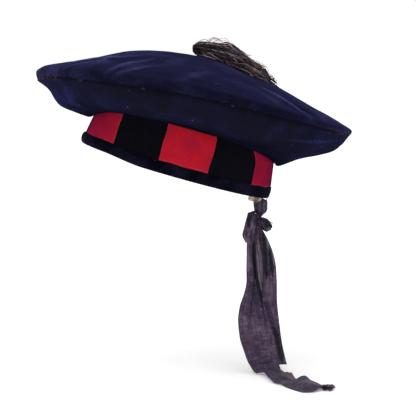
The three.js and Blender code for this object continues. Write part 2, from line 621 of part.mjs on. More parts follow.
function solidOf(geometry) {
  const merged = mergeVertices(new THREE.BufferGeometry().copy(geometry).deleteAttribute('normal'), 1e-4);
  const mesh = { numProp: 3, vertProperties: merged.attributes.position.array, triVerts: merged.index.array };
  mesh.triVerts = new Uint32Array(mesh.triVerts);
  return new wasm.Manifold(new wasm.Mesh(mesh));
}

function geometryOf(solid) {
  const mesh = solid.getMesh();
  const geometry = new THREE.BufferGeometry();
  geometry.setAttribute('position', new THREE.BufferAttribute(mesh.vertProperties, 3));
  geometry.setIndex(new THREE.BufferAttribute(mesh.triVerts, 1));
  geometry.computeVertexNormals();
  return geometry;
}

// The bow's tight middle, an upright rounded wrap, grown by clearance where other ribbon is cut to meet it
const KNOT_FULLNESS = 0.7;
function knotWrap(clearance) {
  const profile = [];
  const steps = 6;
  for (let i = 0; i <= steps; i += 1) {
    const angle = (Math.PI * i) / steps;
    const radius = i === 0 || i === steps ? 0 : (KNOT_WIDTH / 2 + clearance) * Math.sin(angle) ** KNOT_FULLNESS;
    profile.push(new THREE.Vector2(radius, -(KNOT_HEIGHT / 2 + clearance) * Math.cos(angle)));
  }
  const wrap = new THREE.LatheGeometry(profile, 10).deleteAttribute('uv').deleteAttribute('normal');
  wrap.rotateX(Math.PI / 2).translate(knot.x, knot.y, knot.z);
  const merged = mergeVertices(wrap, 1e-4);
  return bodyOf(
    Array.from({ length: merged.attributes.position.count }, (_, i) =>
      new THREE.Vector3().fromBufferAttribute(merged.attributes.position, i),
    ),
    Array.from({ length: merged.index.count / 3 }, (_, i) => [0, 1, 2].map((k) => merged.index.getX(3 * i + k))),
  );
}

// Ribbon that runs into the knot, cut off a clearance short of it. What stays is the largest part outside.
function outsideKnot(geometry) {
  const parts = solidOf(geometry).subtract(solidOf(knotWrap(GAP))).decompose();
  return geometryOf(parts.sort((a, b) => b.volume() - a.volume())[0]);
}

// The ribbon from its hold inside the band, out under the rim and gathered into a knob above the bow
function ribbonNeck() {
  const held = [NECK_HOLD, NECK_HOLD / 2, 0].map((up) => {
    const { x, y, z } = worn(bandPoint(degrees(RIBBON_EXIT), up, RIBBON_INSIDE));
    return { x, y, z, wide: RIBBON / 2, deep: NECK[0].deep * RIBBON_WIDTH };
  });
  const hanging = NECK.map((row) => ({
    x: knot.x + row.right * RIBBON_WIDTH,
    y: knot.y - row.near * RIBBON_WIDTH,
    z: ribbonExit.z - row.down * KNOT_DROP,
    wide: row.wide * RIBBON_WIDTH,
    deep: row.deep * RIBBON_WIDTH,
  }));
  const sections = [...held, ...hanging];
  const sides = 10;
  const steps = 16;
  const loops = Array.from({ length: steps + 1 }, (_, i) => {
    const at = (column) => alongRows(sections, column, i / steps);
    return Array.from({ length: sides }, (__, k) => {
      const angle = (2 * Math.PI * k) / sides;
      return new THREE.Vector3(at('x') + at('wide') * Math.cos(angle), at('y') + at('deep') * Math.sin(angle), at('z'));
    });
  });
  return outsideKnot(loftBody(loops, false));
}

// The toorie: a tied head and locks of fringe, fused, lying back over the crown from its middle
function toorie() {
  const seat = worn(topLine(0).getPointAt(TOORIE_FORWARD / topLine(0).getLength()));
  const head = seat.clone().add(new THREE.Vector3(0, 0, TOORIE_HEAD / 2 + CLOTH / 2 + GAP));
  const line = (share) =>
    new THREE.Vector3(
      head.x + alongRows(TOORIE_LINE, 'along', share) * TOORIE_LENGTH,
      head.y,
      head.z + alongRows(TOORIE_LINE, 'rise', share) * TOORIE_THICKNESS,
    );
  const lockLoops = (lock) => {
    const steps = 8;
    const sides = 5;
    return Array.from({ length: steps + 1 }, (_, i) => {
      const share = (i / steps) * lock.reach;
      const full = alongRows(TOORIE_LINE, 'size', share);
      const middle = line(share);
      middle.y += lock.across * full * LOCK_SPREAD.across * TOORIE_WIDTH;
      middle.z += lock.up * full * LOCK_SPREAD.up * TOORIE_THICKNESS;
      const taper = i === steps ? 0.25 : 1 - 0.25 * (i / steps);
      return Array.from({ length: sides }, (__, k) => {
        const angle = (2 * Math.PI * (k + 0.5)) / sides;
        const point = middle.clone();
        point.y += full * LOCK_SIZE.across * TOORIE_WIDTH * taper * Math.cos(angle);
        point.z += full * LOCK_SIZE.up * TOORIE_THICKNESS * taper * Math.sin(angle);
        return point;
      });
    });
  };
  const ball = new THREE.SphereGeometry(TOORIE_HEAD / 2, 10, 6).deleteAttribute('uv');
  ball.scale(0.9, 1.2, 1).translate(head.x, head.y, head.z);
  let fused = solidOf(ball);
  for (const lock of TOORIE_LOCKS) fused = fused.add(solidOf(loftBody(lockLoops(lock), false)));
  return fused;
}

// The space that the crown's cloth fills, grown by the clearance, for what lies on it to be cut to its shape
function crownHollow() {
  const rows = crownTopRows();
  const normals = gridNormals(rows, true);
  const lifted = rows.map((row, i) =>
    row.map((point, j) => worn(point.clone().addScaledVector(normals[i][j], CLOTH / 2 + GAP))),
  );
  const floor = lifted.at(-1).map((point) => point.clone().setZ(-CROWN_DEPTH));
  return loftBody([...lifted, floor], false);
}

// The toorie settles on the crown, so what would pass into the velvet is cut away
function toorieOnCrown() {
  const parts = toorie().subtract(solidOf(crownHollow())).decompose();
  return geometryOf(parts.sort((a, b) => b.volume() - a.volume())[0]);
}

// Materials, from the look of the hat
const navyVelvet = new THREE.MeshStandardMaterial({ color: 0x14143a, roughness: 0.95, metalness: 0 });
const blackVelvet = new THREE.MeshStandardMaterial({ color: 0x0b0c12, roughness: 0.95, metalness: 0 });
const redCloth = new THREE.MeshStandardMaterial({ color: 0xa81a2c, roughness: 0.9, metalness: 0 });
const pipingCord = new THREE.MeshStandardMaterial({ color: 0x2a1d22, roughness: 0.9, metalness: 0 });
const tape = new THREE.MeshStandardMaterial({ color: 0xb7a48c, roughness: 0.9, metalness: 0 });
const silk = new THREE.MeshStandardMaterial({ color: 0x4b4258, roughness: 0.6, metalness: 0 });
const fringe = new THREE.MeshStandardMaterial({ color: 0x2b2028, roughness: 0.8, metalness: 0 });

function piece(name, geometry, material) {
  const mesh = new THREE.Mesh(geometry, material);
  mesh.name = name;
  return mesh;
}

// The hat leans back as it is worn, and the ribbon and the toorie hang and lie as gravity takes them
const hat = new THREE.Group();
hat.rotation.y = degrees(WORN_TILT);
hat.add(piece('crown_top', crownTop(), navyVelvet));
hat.add(piece('crown_underside', crownUnderside(), navyVelvet));
hat.add(piece('edge_piping', edgePiping(), pipingCord));
hat.add(piece('headband', headband(), blackVelvet));
hat.add(piece('rim_binding', rimBinding(), blackVelvet));
hat.add(piece('lining_tab', liningTab(), tape));
PATCHES.forEach((row, number) => {
  hat.add(piece(`check_near_${row.name}`, checkPatch(row, number, 1), redCloth));
  hat.add(piece(`check_far_${row.name}`, checkPatch(row, number, -1), redCloth));
});

const tam = new THREE.Group();
tam.add(hat);
tam.add(piece('toorie', toorieOnCrown(), fringe));
tam.add(piece('ribbon_neck', ribbonNeck(), silk));
tam.add(piece('bow_knot', knotWrap(0), silk));
for (const { name, rows, drop, steps, pleats } of RIBBON_PIECES) {
  tam.add(piece(name, outsideKnot(ribbonBody(rows, drop, steps, pleats)), silk));
}

export default tam;
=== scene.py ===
# Tam o' shanter in navy velvet, with a checked band, a silk toorie on the crown and a ribbon bow at the back.
import math

import bmesh
import bpy
import numpy as np
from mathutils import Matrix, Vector, noise


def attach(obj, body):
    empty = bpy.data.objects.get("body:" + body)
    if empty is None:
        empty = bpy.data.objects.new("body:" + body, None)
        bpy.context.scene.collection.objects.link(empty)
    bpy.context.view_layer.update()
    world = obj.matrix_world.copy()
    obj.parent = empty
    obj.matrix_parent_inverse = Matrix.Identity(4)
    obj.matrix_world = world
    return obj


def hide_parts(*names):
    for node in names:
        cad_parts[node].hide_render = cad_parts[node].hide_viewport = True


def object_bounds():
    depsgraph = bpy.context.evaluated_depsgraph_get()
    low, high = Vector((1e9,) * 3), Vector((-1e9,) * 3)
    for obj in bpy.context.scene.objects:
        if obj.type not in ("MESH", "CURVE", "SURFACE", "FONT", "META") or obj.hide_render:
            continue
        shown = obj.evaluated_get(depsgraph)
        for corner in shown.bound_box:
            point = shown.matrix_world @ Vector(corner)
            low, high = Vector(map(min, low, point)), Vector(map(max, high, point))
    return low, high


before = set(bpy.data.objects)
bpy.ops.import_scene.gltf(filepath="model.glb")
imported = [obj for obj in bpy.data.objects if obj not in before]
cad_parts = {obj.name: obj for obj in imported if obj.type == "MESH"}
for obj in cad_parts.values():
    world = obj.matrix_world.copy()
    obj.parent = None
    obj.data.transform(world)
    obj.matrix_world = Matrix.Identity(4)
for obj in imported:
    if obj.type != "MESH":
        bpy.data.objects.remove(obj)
cad_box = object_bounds()

# Lengths below are millimetres in the hat's own frame, as a tailor would write them
MM = 0.001
WORN_TILT = math.radians(16)

HEAD_LENGTH = 196
HEAD_WIDTH = 158
BAND_WALL = 2.5
BAND_HEIGHT = 57
BAND_STRAIGHT = 14
BAND_TAPER = 7
RIM_RISE = 3
CROWN_LENGTH = 329
CROWN_WIDTH = 322
CROWN_FORWARD = 1.5
CROWN_DEPTH = 65
VELVET = 2
PIPING_DIAMETER = 3
# How far the panels' cut edges reach into the cord
CORD_SEAT = 0.4
GAP = 0.3

BINDING_HEIGHT = 12
BINDING_BULGE_FRONT = 3.4
BINDING_BULGE_BACK = 1.8
BINDING_CLOTH = 1.5
CHECK_WIDTH = 52
CHECK_HEIGHT = 38
CHECK_CLOTH = 0.9
FRONT_PLAIN = 37
BACK_PLAIN = 16
TAB_LENGTH = 27
TAB_HEIGHT = 15
TAB_DROP = 5.5
TAB_CLOTH = 1.2
TAB_BESIDE = 18

RIBBON_WIDTH = 38
RIBBON_CLOTH = 0.45
RIBBON_EXIT = 173
KNOT_FORWARD = 6
KNOT_DROP = 26
KNOT_WIDTH = 10
KNOT_HEIGHT = 12
BOW_DROP = 20
TAIL_DROP = 155.5
SHORT_TAIL_DROP = 154

# The floor is where the longer tail comes to rest
FLOOR_HEIGHT = cad_box[0][2] / MM


def table(columns, rows):
    """Rows of values, each with the names of its columns."""
    return [dict(zip(columns.split(), row)) for row in rows]


# Sections of the crown's top at 0 (front), 45, 90, 135 and 180 degrees: heights above the band as shares of
# CROWN_DEPTH
TOP_SECTIONS = table("quarter half wide shoulder edge lip seam", [
    (0.92, 0.725, 0.475, 0.29, 0.17, 0.06, -0.03),
    (0.94, 0.79, 0.615, 0.5, 0.405, 0.3, 0.17),
    (0.975, 0.885, 0.785, 0.7, 0.62, 0.54, 0.42),
    (0.98, 0.885, 0.77, 0.68, 0.615, 0.55, 0.47),
    (0.97, 0.855, 0.725, 0.64, 0.58, 0.515, 0.455),
])
# How far out each of those points is, as a share of the way to the seam
TOP_REACH = {
    "quarter": 0.25, "half": 0.5, "wide": 0.7, "shoulder": 0.85, "edge": 0.94, "lip": 1.008, "seam": 1,
}
# The seam is tucked under the top's roll at the front tip: how far in and down, as shares, and how far round
TUCK_IN = 0.027
TUCK_DOWN = 0.04
TUCK_LIP = 0.012
TUCK_SPREAD = 0.07

# Sections of the crown's underside at the same turns: how far out from band to seam, and how high, in shares
UNDER_SECTIONS = table("side belly sag low", [
    ((0.79, -0.17), (0.61, -0.345), (0.36, -0.385), (0.1, -0.39)),
    ((0.83, 0.015), (0.67, -0.13), (0.39, -0.165), (0.1, -0.17)),
    ((0.88, 0.14), (0.72, 0.02), (0.41, -0.04), (0.1, -0.055)),
    ((0.88, 0.2), (0.69, 0.045), (0.39, -0.075), (0.1, -0.165)),
    ((0.885, 0.2), (0.655, 0.03), (0.375, -0.13), (0.1, -0.33)),
])

# Soft folds and the bright streaks on their ridges, of brushed pile and painted sheen highlights. turn is in
# degrees round the crown, and run is the share of the way from the middle (top) or from the seam (underside).
# breadth and depth are in millimetres, and the last column is how bright the pile and its painted sheen show.
TOP_FOLDS = table("turn run turn_end run_end breadth depth nap", [
    (33, 0.98, 47, 0.46, 6, 2.4, 0.75),
    (27, 0.97, 38, 0.5, 6, -2.2, 0.0),
    (36, 0.985, 46, 0.74, 4, 0.9, 0.6),
    (46, 0.88, 35, 0.46, 4, 0.9, 0.6),
    (57, 0.98, 58, 0.52, 4.5, 2.0, 0.75),
    (51, 0.98, 52, 0.6, 5, -1.6, 0.0),
    (60, 0.985, 70, 0.72, 5, 1.6, 0.5),
    (14, 0.99, 24, 0.86, 9, 1.2, 0.55),
    (80, 0.97, 95, 0.6, 10, 1.2, 0.2),
    (133, 0.985, 119, 0.62, 6, 2.6, 0.75),
    (142, 0.98, 128, 0.66, 7, -2.4, 0.0),
    (158, 0.985, 146, 0.8, 8, 1.5, 0.45),
    (338, 0.96, 300, 0.45, 8, 2.6, 0.4),
    (310, 0.94, 268, 0.6, 8.5, -2.0, 0.0),
    (214, 0.96, 238, 0.5, 8.5, 2.6, 0.4),
])
UNDER_FOLDS = table("turn run turn_end run_end breadth depth nap", [
    (13, 0.08, 29, 0.8, 5.5, 2.7, 0.7),
    (19, 0.1, 37, 0.85, 4, 0.8, 0.5),
    (23, 0.08, 31, 0.7, 5, -2.4, 0.0),
    (35, 0.1, 33, 0.75, 6, 2.0, 0.55),
    (52, 0.06, 56, 0.7, 8, 1.0, 0.25),
    (172, 0.12, 140, 0.5, 6, -3.0, 0.0),
    (160, 0.05, 124, 0.26, 6, 1.6, 0.5),
    (190, 0.1, 205, 0.8, 8, 2.7, 0.4),
    (332, 0.1, 322, 0.8, 8, -2.7, 0.0),
    (252, 0.1, 262, 0.75, 8, 2.1, 0.4),
])


# Curves and tables


def smooth(a, b, c, d, t):
    """Catmull-Rom value between b and c at share t."""
    return b + 0.5 * ((c - a) * t + (2 * a - 5 * b + 4 * c - d) * t**2 + (3 * b - 3 * c + d - a) * t**3)


def full_turn(count):
    """Equal turns once round, in radians."""
    return np.linspace(0, 2 * math.pi, count, endpoint=False)


def around(values, turn):
    """A value given at equal steps from front to back, at any turn round the hat, alike on both sides."""
    values = np.array(values, float)
    last = len(values) - 1
    place = np.arccos(np.clip(np.cos(turn), -1, 1)) / math.pi * last
    i = np.minimum(place.astype(int), last - 1)

    def at(k):
        return values[last - np.abs(last - np.abs(k))]

    return smooth(at(i - 1), at(i), at(i + 1), at(i + 2), place - i)


def along_rows(rows, column, share):
    """A column of a table of rows, at shares of the way through it."""
    values = np.array([row[column] for row in rows], float)
    last = len(values) - 1
    place = np.clip(np.asarray(share, float), 0, 1) * last
    i = np.minimum(place.astype(int), last - 1)

    def at(k):
        return values[np.clip(k, 0, last)]

    return smooth(at(i - 1), at(i), at(i + 1), at(i + 2), place - i)


def spline_at(controls, shares):
    """Places at shares of the length of smooth lines through controls[line, point]. shares is [row, line]."""
    first = 2 * controls[:, :1] - controls[:, 1:2]
    final = 2 * controls[:, -1:] - controls[:, -2:-1]
    p = np.concatenate([first, controls, final], axis=1)
    t = np.linspace(0, 1, 24, endpoint=False)[None, :, None]
    dense = []
    for i in range(controls.shape[1] - 1):
        x0, x1, x2, x3 = (p[:, i + k, None, :] for k in range(4))
        d0, d1, d2 = (
            np.maximum(np.linalg.norm(b - a, axis=2, keepdims=True), 1e-3) ** 0.5
            for a, b in ((x0, x1), (x1, x2), (x2, x3))
        )
        m1 = ((x1 - x0) / d0 - (x2 - x0) / (d0 + d1) + (x2 - x1) / d1) * d1
        m2 = ((x2 - x1) / d1 - (x3 - x1) / (d1 + d2) + (x3 - x2) / d2) * d1
        c2 = -3 * x1 + 3 * x2 - 2 * m1 - m2
        c3 = 2 * x1 - 2 * x2 + m1 + m2
        dense.append(x1 + m1 * t + c2 * t**2 + c3 * t**3)
    dense.append(controls[:, -1:])
    dense = np.concatenate(dense, axis=1)
    steps = np.linalg.norm(np.diff(dense, axis=1), axis=2)
    walked = np.concatenate([np.zeros((len(dense), 1)), np.cumsum(steps, axis=1)], axis=1)
    lengths = walked[:, -1]
    shares = np.broadcast_to(shares, (len(shares), len(dense)))
    out = np.empty((len(shares), len(dense), 3))
    for n in range(len(dense)):
        for axis in range(3):
            out[:, n, axis] = np.interp(shares[:, n] * lengths[n], walked[n], dense[n, :, axis])
    return out, lengths


def smooth_lines(controls, steps):
    """Smooth lines [line, step] through rows of places."""
    return spline_at(np.array(controls), np.linspace(0, 1, steps)[:, None])[0].transpose(1, 0, 2)


def walked_along(points):
    """The length of a line of places up to each of them."""
    return np.concatenate([[0], np.cumsum(np.linalg.norm(np.diff(points, axis=0), axis=1))])


def worn(points):
    """The worn place of points of the hat's own frame."""
    x, y, z = np.moveaxis(np.asarray(points, float), -1, 0)
    c, s = math.cos(WORN_TILT), math.sin(WORN_TILT)
    return np.stack([c * x + s * z, y, c * z - s * x], axis=-1)


# The hat's own surfaces


def band_point(turn, up, out):
    """A place on the band's outer face, or out of it."""
    turn, up, out = np.broadcast_arrays(np.asarray(turn, float), up, out)
    rise = np.maximum(0, up - BAND_STRAIGHT) / (BAND_HEIGHT - BAND_STRAIGHT)
    lean = BAND_TAPER * rise * np.cos(turn) ** 2
    half_length = HEAD_LENGTH / 2 + BAND_WALL + out - lean
    half_width = HEAD_WIDTH / 2 + BAND_WALL + out
    front = np.clip((np.cos(turn) - 0.35) / 0.45, 0, 1)
    rim_rise = RIM_RISE * front * front * (3 - 2 * front) * (1 - up / BAND_HEIGHT)
    return np.stack([-half_length * np.cos(turn), -half_width * np.sin(turn), up + rim_rise], axis=-1)


def crown_point(turn, reach, rise):
    x = -reach * CROWN_LENGTH / 2 * np.cos(turn) - CROWN_FORWARD
    y = -reach * CROWN_WIDTH / 2 * np.sin(turn)
    return np.stack([x, y, BAND_HEIGHT + rise * CROWN_DEPTH + 0 * turn], axis=-1)


def front_tuck(turn):
    """How far the seam is tucked under the top's roll: most at the front tip."""
    return np.exp(-(1 - np.cos(turn)) / TUCK_SPREAD)


def top_rise(name, turn):
    return around([row[name] for row in TOP_SECTIONS], turn)


def seam_point(turn):
    tuck = front_tuck(turn)
    return crown_point(turn, 1 - TUCK_IN * tuck, top_rise("seam", turn) - TUCK_DOWN * tuck)


def top_controls(turn):
    points = [crown_point(turn, 0, 1 + 0 * turn)]
    for name, reach in TOP_REACH.items():
        if name == "lip":
            reach = reach - TUCK_LIP * front_tuck(turn)
        points.append(crown_point(turn, reach, top_rise(name, turn)))
    points[-1] = seam_point(turn)
    return np.stack(points, axis=1)


OVER_CHECKS = GAP + CHECK_CLOTH + GAP + VELVET / 2


def under_controls(turn):
    inner = band_point(turn, BAND_HEIGHT, 0)
    seam = seam_point(turn)
    points = [seam]
    for name in ("side", "belly", "sag", "low"):
        out = around([row[name][0] for row in UNDER_SECTIONS], turn)[:, None]
        point = inner + (seam - inner) * out
        point[:, 2] = BAND_HEIGHT + around([row[name][1] for row in UNDER_SECTIONS], turn) * CROWN_DEPTH
        points.append(point)
    hang = np.minimum(points[-1][:, 2] + VELVET, BAND_HEIGHT - 1.5 * VELVET)
    points.append(band_point(turn, hang, OVER_CHECKS + VELVET / 2))
    return np.stack(points, axis=1)


def grid_normals(points, closed):
    """Normals of a grid of rows and columns, out of the hat for rows that run outwards or down."""
    down = np.gradient(points, axis=0)
    if closed:
        across = np.roll(points, -1, axis=1) - np.roll(points, 1, axis=1)
    else:
        across = np.gradient(points, axis=1)
    normals = np.cross(down, across)
    lengths = np.linalg.norm(normals, axis=2, keepdims=True)
    up = np.array([0.0, 0.0, 1.0])
    return np.where(lengths > 1e-9, normals / np.maximum(lengths, 1e-9), up)


def fold_values(folds, turn, run, key, sharpen=1.0):
    """The sum of a table's folds over a grid, each with its own depth or nap."""
    total = np.zeros(np.broadcast(turn, run).shape)
    for fold in folds:
        share = (run - fold["run"]) / (fold["run_end"] - fold["run"])
        middle = np.radians(fold["turn"] + (fold["turn_end"] - fold["turn"]) * share)
        angle = np.arctan2(np.sin(turn - middle), np.cos(turn - middle))
        away = angle * CROWN_LENGTH * 0.5 * np.maximum(run, 0.3) / fold["breadth"] * sharpen
        fade = np.sin(math.pi * np.clip(share, 0, 1))
        total += fold[key] * np.exp(-away * away) * fade
    return total


def wrinkle_noise(points, size, seed):
    """Soft noise over a grid of places, whose waves are about size millimetres long."""
    flat = points.reshape(-1, 3) / size
    values = [noise.noise(Vector((x + seed, y - seed, z + 2 * seed))) for x, y, z in flat]
    return np.array(values).reshape(points.shape[:-1])


# Mesh making

# The order of a face's corners when it is turned over
TURNED = [0, 3, 2, 1]


def in_scene(name, data):
    """A new object that shows data, in the scene."""
    item = bpy.data.objects.new(name, data)
    bpy.context.scene.collection.objects.link(item)
    return item


def grid_faces(index):
    """Four-sided faces between the rows and columns of a grid of numbered places."""
    corners = [index[:-1, :-1], index[:-1, 1:], index[1:, 1:], index[1:, :-1]]
    return np.stack(corners, axis=-1).reshape(-1, 4)


def carry(mesh, values):
    """Puts values on a mesh's places, each under its own name."""
    for key, data in (values or {}).items():
        attribute = mesh.attributes.new(name=key, type="FLOAT", domain="POINT")
        attribute.data.foreach_set("value", np.asarray(data, float).ravel())


def mesh_object(name, points, faces, material, uv=None, values=None):
    """A mesh from places in millimetres, with its doubles merged and its faces turned outwards."""
    mesh = bpy.data.meshes.new(name)
    mesh.from_pydata((np.asarray(points) * MM).tolist(), [], [list(map(int, face)) for face in faces])
    if uv is not None:
        layer = mesh.uv_layers.new(name="cloth")
        corners = np.empty(len(mesh.loops), dtype=np.int32)
        mesh.loops.foreach_get("vertex_index", corners)
        layer.data.foreach_set("uv", np.asarray(uv, float)[corners].ravel())
    carry(mesh, values)
    work = bmesh.new()
    work.from_mesh(mesh)
    bmesh.ops.remove_doubles(work, verts=work.verts, dist=1e-7)
    if work.calc_volume(signed=True) < 0:
        bmesh.ops.reverse_faces(work, faces=work.faces)
    work.to_mesh(mesh)
    work.free()
    mesh.polygons.foreach_set("use_smooth", [True] * len(mesh.polygons))
    mesh.materials.append(material)
    return in_scene(name, mesh)


def cloth_shell(name, points, thickness, material, closed=False, uv=None, values=None):
    """Cloth of an even thickness about a grid of places, with rounded edges."""
    normals = grid_normals(points, closed)
    rows, columns = points.shape[:2]
    thick = np.broadcast_to(np.asarray(thickness, float), (rows, columns))[..., None]
    sides = [points + normals * thick / 2, points - normals * thick / 2]
    count = rows * columns
    index = np.arange(count).reshape(rows, columns)
    if closed:
        index = np.concatenate([index, index[:, :1]], axis=1)
    top = grid_faces(index)
    faces = [top, top[:, TURNED] + count]

    def rim(line):
        faces.append(np.stack([line[1:], line[:-1], line[:-1] + count, line[1:] + count], axis=-1))

    rim(index[0])
    rim(index[-1][::-1])
    if not closed:
        rim(index[:, 0][::-1])
        rim(index[:, -1])
    both = np.concatenate([side.reshape(-1, 3) for side in sides])
    doubled = {key: np.concatenate([np.ravel(data)] * 2) for key, data in (values or {}).items()}
    doubled["back"] = np.repeat([0.0, 1.0], count)
    flat_uv = None if uv is None else np.concatenate([uv.reshape(-1, 2)] * 2)
    return mesh_object(name, both, np.concatenate(faces), material, flat_uv, doubled)


def ring_body(name, loops, material, values=None):
    """A closed ring through section loops[turn, place]."""
    count, sides = loops.shape[:2]
    index = np.arange(count * sides).reshape(count, sides)
    faces = grid_faces(np.pad(index, ((0, 1), (0, 1)), mode="wrap"))[:, TURNED]
    return mesh_object(name, loops.reshape(-1, 3), faces, material, None, values)


# Materials


def node_group(name, inputs, outputs):
    """An empty shader group, its given sockets (vectors where they have no value) and its results."""
    group = bpy.data.node_groups.new(name, "ShaderNodeTree")
    for label, value in inputs.items():
        kind = "NodeSocketVector" if value is None else "NodeSocketFloat"
        socket = group.interface.new_socket(name=label, in_out="INPUT", socket_type=kind)
        if value is not None:
            socket.default_value = value
    for label in outputs:
        group.interface.new_socket(name=label, in_out="OUTPUT", socket_type="NodeSocketFloat")
    return group, group.nodes.new("NodeGroupInput").outputs, group.nodes.new("NodeGroupOutput").inputs


def add(tree, kind, inputs=None, **settings):
    """A node with its settings, and its inputs set or linked."""
    node = tree.nodes.new(kind)
    for key, value in settings.items():
        setattr(node, key, value)
    for key, value in (inputs or {}).items():
        socket = node.inputs[key]
        if isinstance(value, bpy.types.NodeSocket):
            tree.links.new(value, socket)
        else:
            socket.default_value = value
    return node


def reckon(tree, operation, first, second=None, clamp=False):
    """The result of one step of arithmetic on sockets or numbers."""
    inputs = {0: first} if second is None else {0: first, 1: second}
    return add(tree, "ShaderNodeMath", inputs, operation=operation, use_clamp=clamp).outputs[0]


def between(tree, value, low, high):
    """Where a value stands between two others, from 0 to 1."""
    limits = {"Value": value, "From Min": low, "From Max": high}
    return add(tree, "ShaderNodeMapRange", limits).outputs["Result"]


def stretched(tree, vector, amounts):
    return add(tree, "ShaderNodeVectorMath", {0: vector, 1: amounts}, operation="MULTIPLY").outputs[0]


def cloud(tree, vector, scale, detail, roughness):
    inputs = {"Vector": vector, "Scale": scale, "Detail": detail, "Roughness": roughness}
    return add(tree, "ShaderNodeTexNoise", inputs).outputs["Fac"]


def mottle_group():
    """Slow cloudy change over a cloth, from 0 to 1."""
    group, given, result = node_group("cloth mottle", {"Vector": None, "Scale": 40, "Contrast": 1}, ["Value"])
    centred = reckon(group, "SUBTRACT", cloud(group, given["Vector"], given["Scale"], 5.0, 0.62), 0.5)
    scaled = reckon(group, "MULTIPLY", centred, given["Contrast"])
    group.links.new(reckon(group, "ADD", scaled, 0.5, True), result["Value"])
    return group


def pile_group():
    """The height of short pile or felt, in fine tufts."""
    group, given, result = node_group("short pile", {"Vector": None, "Tufts": 1800}, ["Height"])
    fine = cloud(group, given["Vector"], given["Tufts"], 2.0, 0.7)
    coarse = cloud(group, given["Vector"], reckon(group, "MULTIPLY", given["Tufts"], 0.22), 3.0, 0.55)
    group.links.new(reckon(group, "ADD", fine, coarse), result["Height"])
    return group


def weave_group():
    """Threads across and along a cloth, from its own UV in millimetres: a height and a thread mask."""
    sockets = {"UV": None, "Across": 1.2, "Along": 1.2}
    group, given, result = node_group("thread weave", sockets, ["Height", "Mask"])
    parts = add(group, "ShaderNodeSeparateXYZ", {0: given["UV"]}).outputs
    waves = []
    for axis, label in (("X", "Across"), ("Y", "Along")):
        turned = reckon(group, "MULTIPLY", reckon(group, "MULTIPLY", parts[axis], given[label]), 2 * math.pi)
        waves.append(reckon(group, "SINE", turned))
    group.links.new(reckon(group, "ADD", *waves), result["Height"])
    group.links.new(between(group, reckon(group, "MULTIPLY", *waves), -1.0, 1.0), result["Mask"])
    return group


def lint_group():
    """Sparse pale specks of lint, and one larger one, as a mask."""
    group, given, result = node_group("lint", {"Vector": None, "Speck": None, "Size": 0.0007}, ["Mask"])
    cells = add(group, "ShaderNodeTexVoronoi", {"Vector": given["Vector"], "Scale": 62.0, "Randomness": 1.0})
    faint = reckon(group, "MULTIPLY", reckon(group, "LESS_THAN", cells.outputs["Distance"], 0.026), 0.3)
    away = add(group, "ShaderNodeVectorMath", {0: given["Vector"], 1: given["Speck"]}, operation="DISTANCE")
    large = reckon(group, "LESS_THAN", away.outputs["Value"], given["Size"])
    group.links.new(reckon(group, "MAXIMUM", faint, large), result["Mask"])
    return group


MOTTLE = mottle_group()
PILE = pile_group()
WEAVE = weave_group()
LINT = lint_group()


def new_material(name, roughness, sheen=0.0, sheen_tint=(1, 1, 1), sheen_roughness=0.4, specular=0.2):
    material = bpy.data.materials.new(name)
    material.use_nodes = True
    tree = material.node_tree
    shader = tree.nodes["Principled BSDF"]
    shader.inputs["Roughness"].default_value = roughness
    shader.inputs["Sheen Weight"].default_value = sheen
    shader.inputs["Sheen Roughness"].default_value = sheen_roughness
    shader.inputs["Sheen Tint"].default_value = (*sheen_tint, 1)
    shader.inputs["Specular IOR Level"].default_value = specular
    return material, tree, shader


def blend_colors(tree, factor, low, high):
    """A mix of two colours, each a socket or a plain colour."""
    node = tree.nodes.new("ShaderNodeMix")
    node.data_type = "RGBA"
    for socket, value in ((node.inputs["Factor"], factor), (node.inputs[6], low), (node.inputs[7], high)):
        if isinstance(value, bpy.types.NodeSocket):
            tree.links.new(value, socket)
        elif isinstance(value, tuple):
            socket.default_value = (*value, 1)
        else:
            socket.default_value = value
    return node.outputs[2]


def mottle(tree, vector, scale, contrast):
    inputs = {"Vector": vector, "Scale": scale, "Contrast": contrast}
    return add(tree, "ShaderNodeGroup", inputs, node_tree=MOTTLE).outputs["Value"]


def weave_of(tree, uv, across, along):
    return add(tree, "ShaderNodeGroup", {"UV": uv, "Across": across, "Along": along}, node_tree=WEAVE).outputs


def mesh_value(tree, name):
    """A value from 0 to 1 that the mesh carries."""
    return add(tree, "ShaderNodeAttribute", attribute_name=name).outputs["Fac"]


def overlaid(tree, color, layers):
    """A colour with others over it, each as strong as the value of its name on the mesh."""
    for name, over in layers.items():
        color = blend_colors(tree, mesh_value(tree, name), color, over)
    return color


def object_place(tree):
    return add(tree, "ShaderNodeTexCoord").outputs["Object"]


def cloth_uv(tree):
    return add(tree, "ShaderNodeUVMap", uv_map="cloth").outputs["UV"]


def finished(material, tree, shader, color, height, strength, distance):
    """The material with its colour and its relief, whose distance is in metres."""
    tree.links.new(color, shader.inputs["Base Color"])
    relief = add(tree, "ShaderNodeBump", {"Height": height, "Strength": strength, "Distance": distance})
    tree.links.new(relief.outputs["Normal"], shader.inputs["Normal"])
    return material


def pile_height(tree, place, tufts):
    return add(tree, "ShaderNodeGroup", {"Vector": place, "Tufts": tufts}, node_tree=PILE).outputs["Height"]


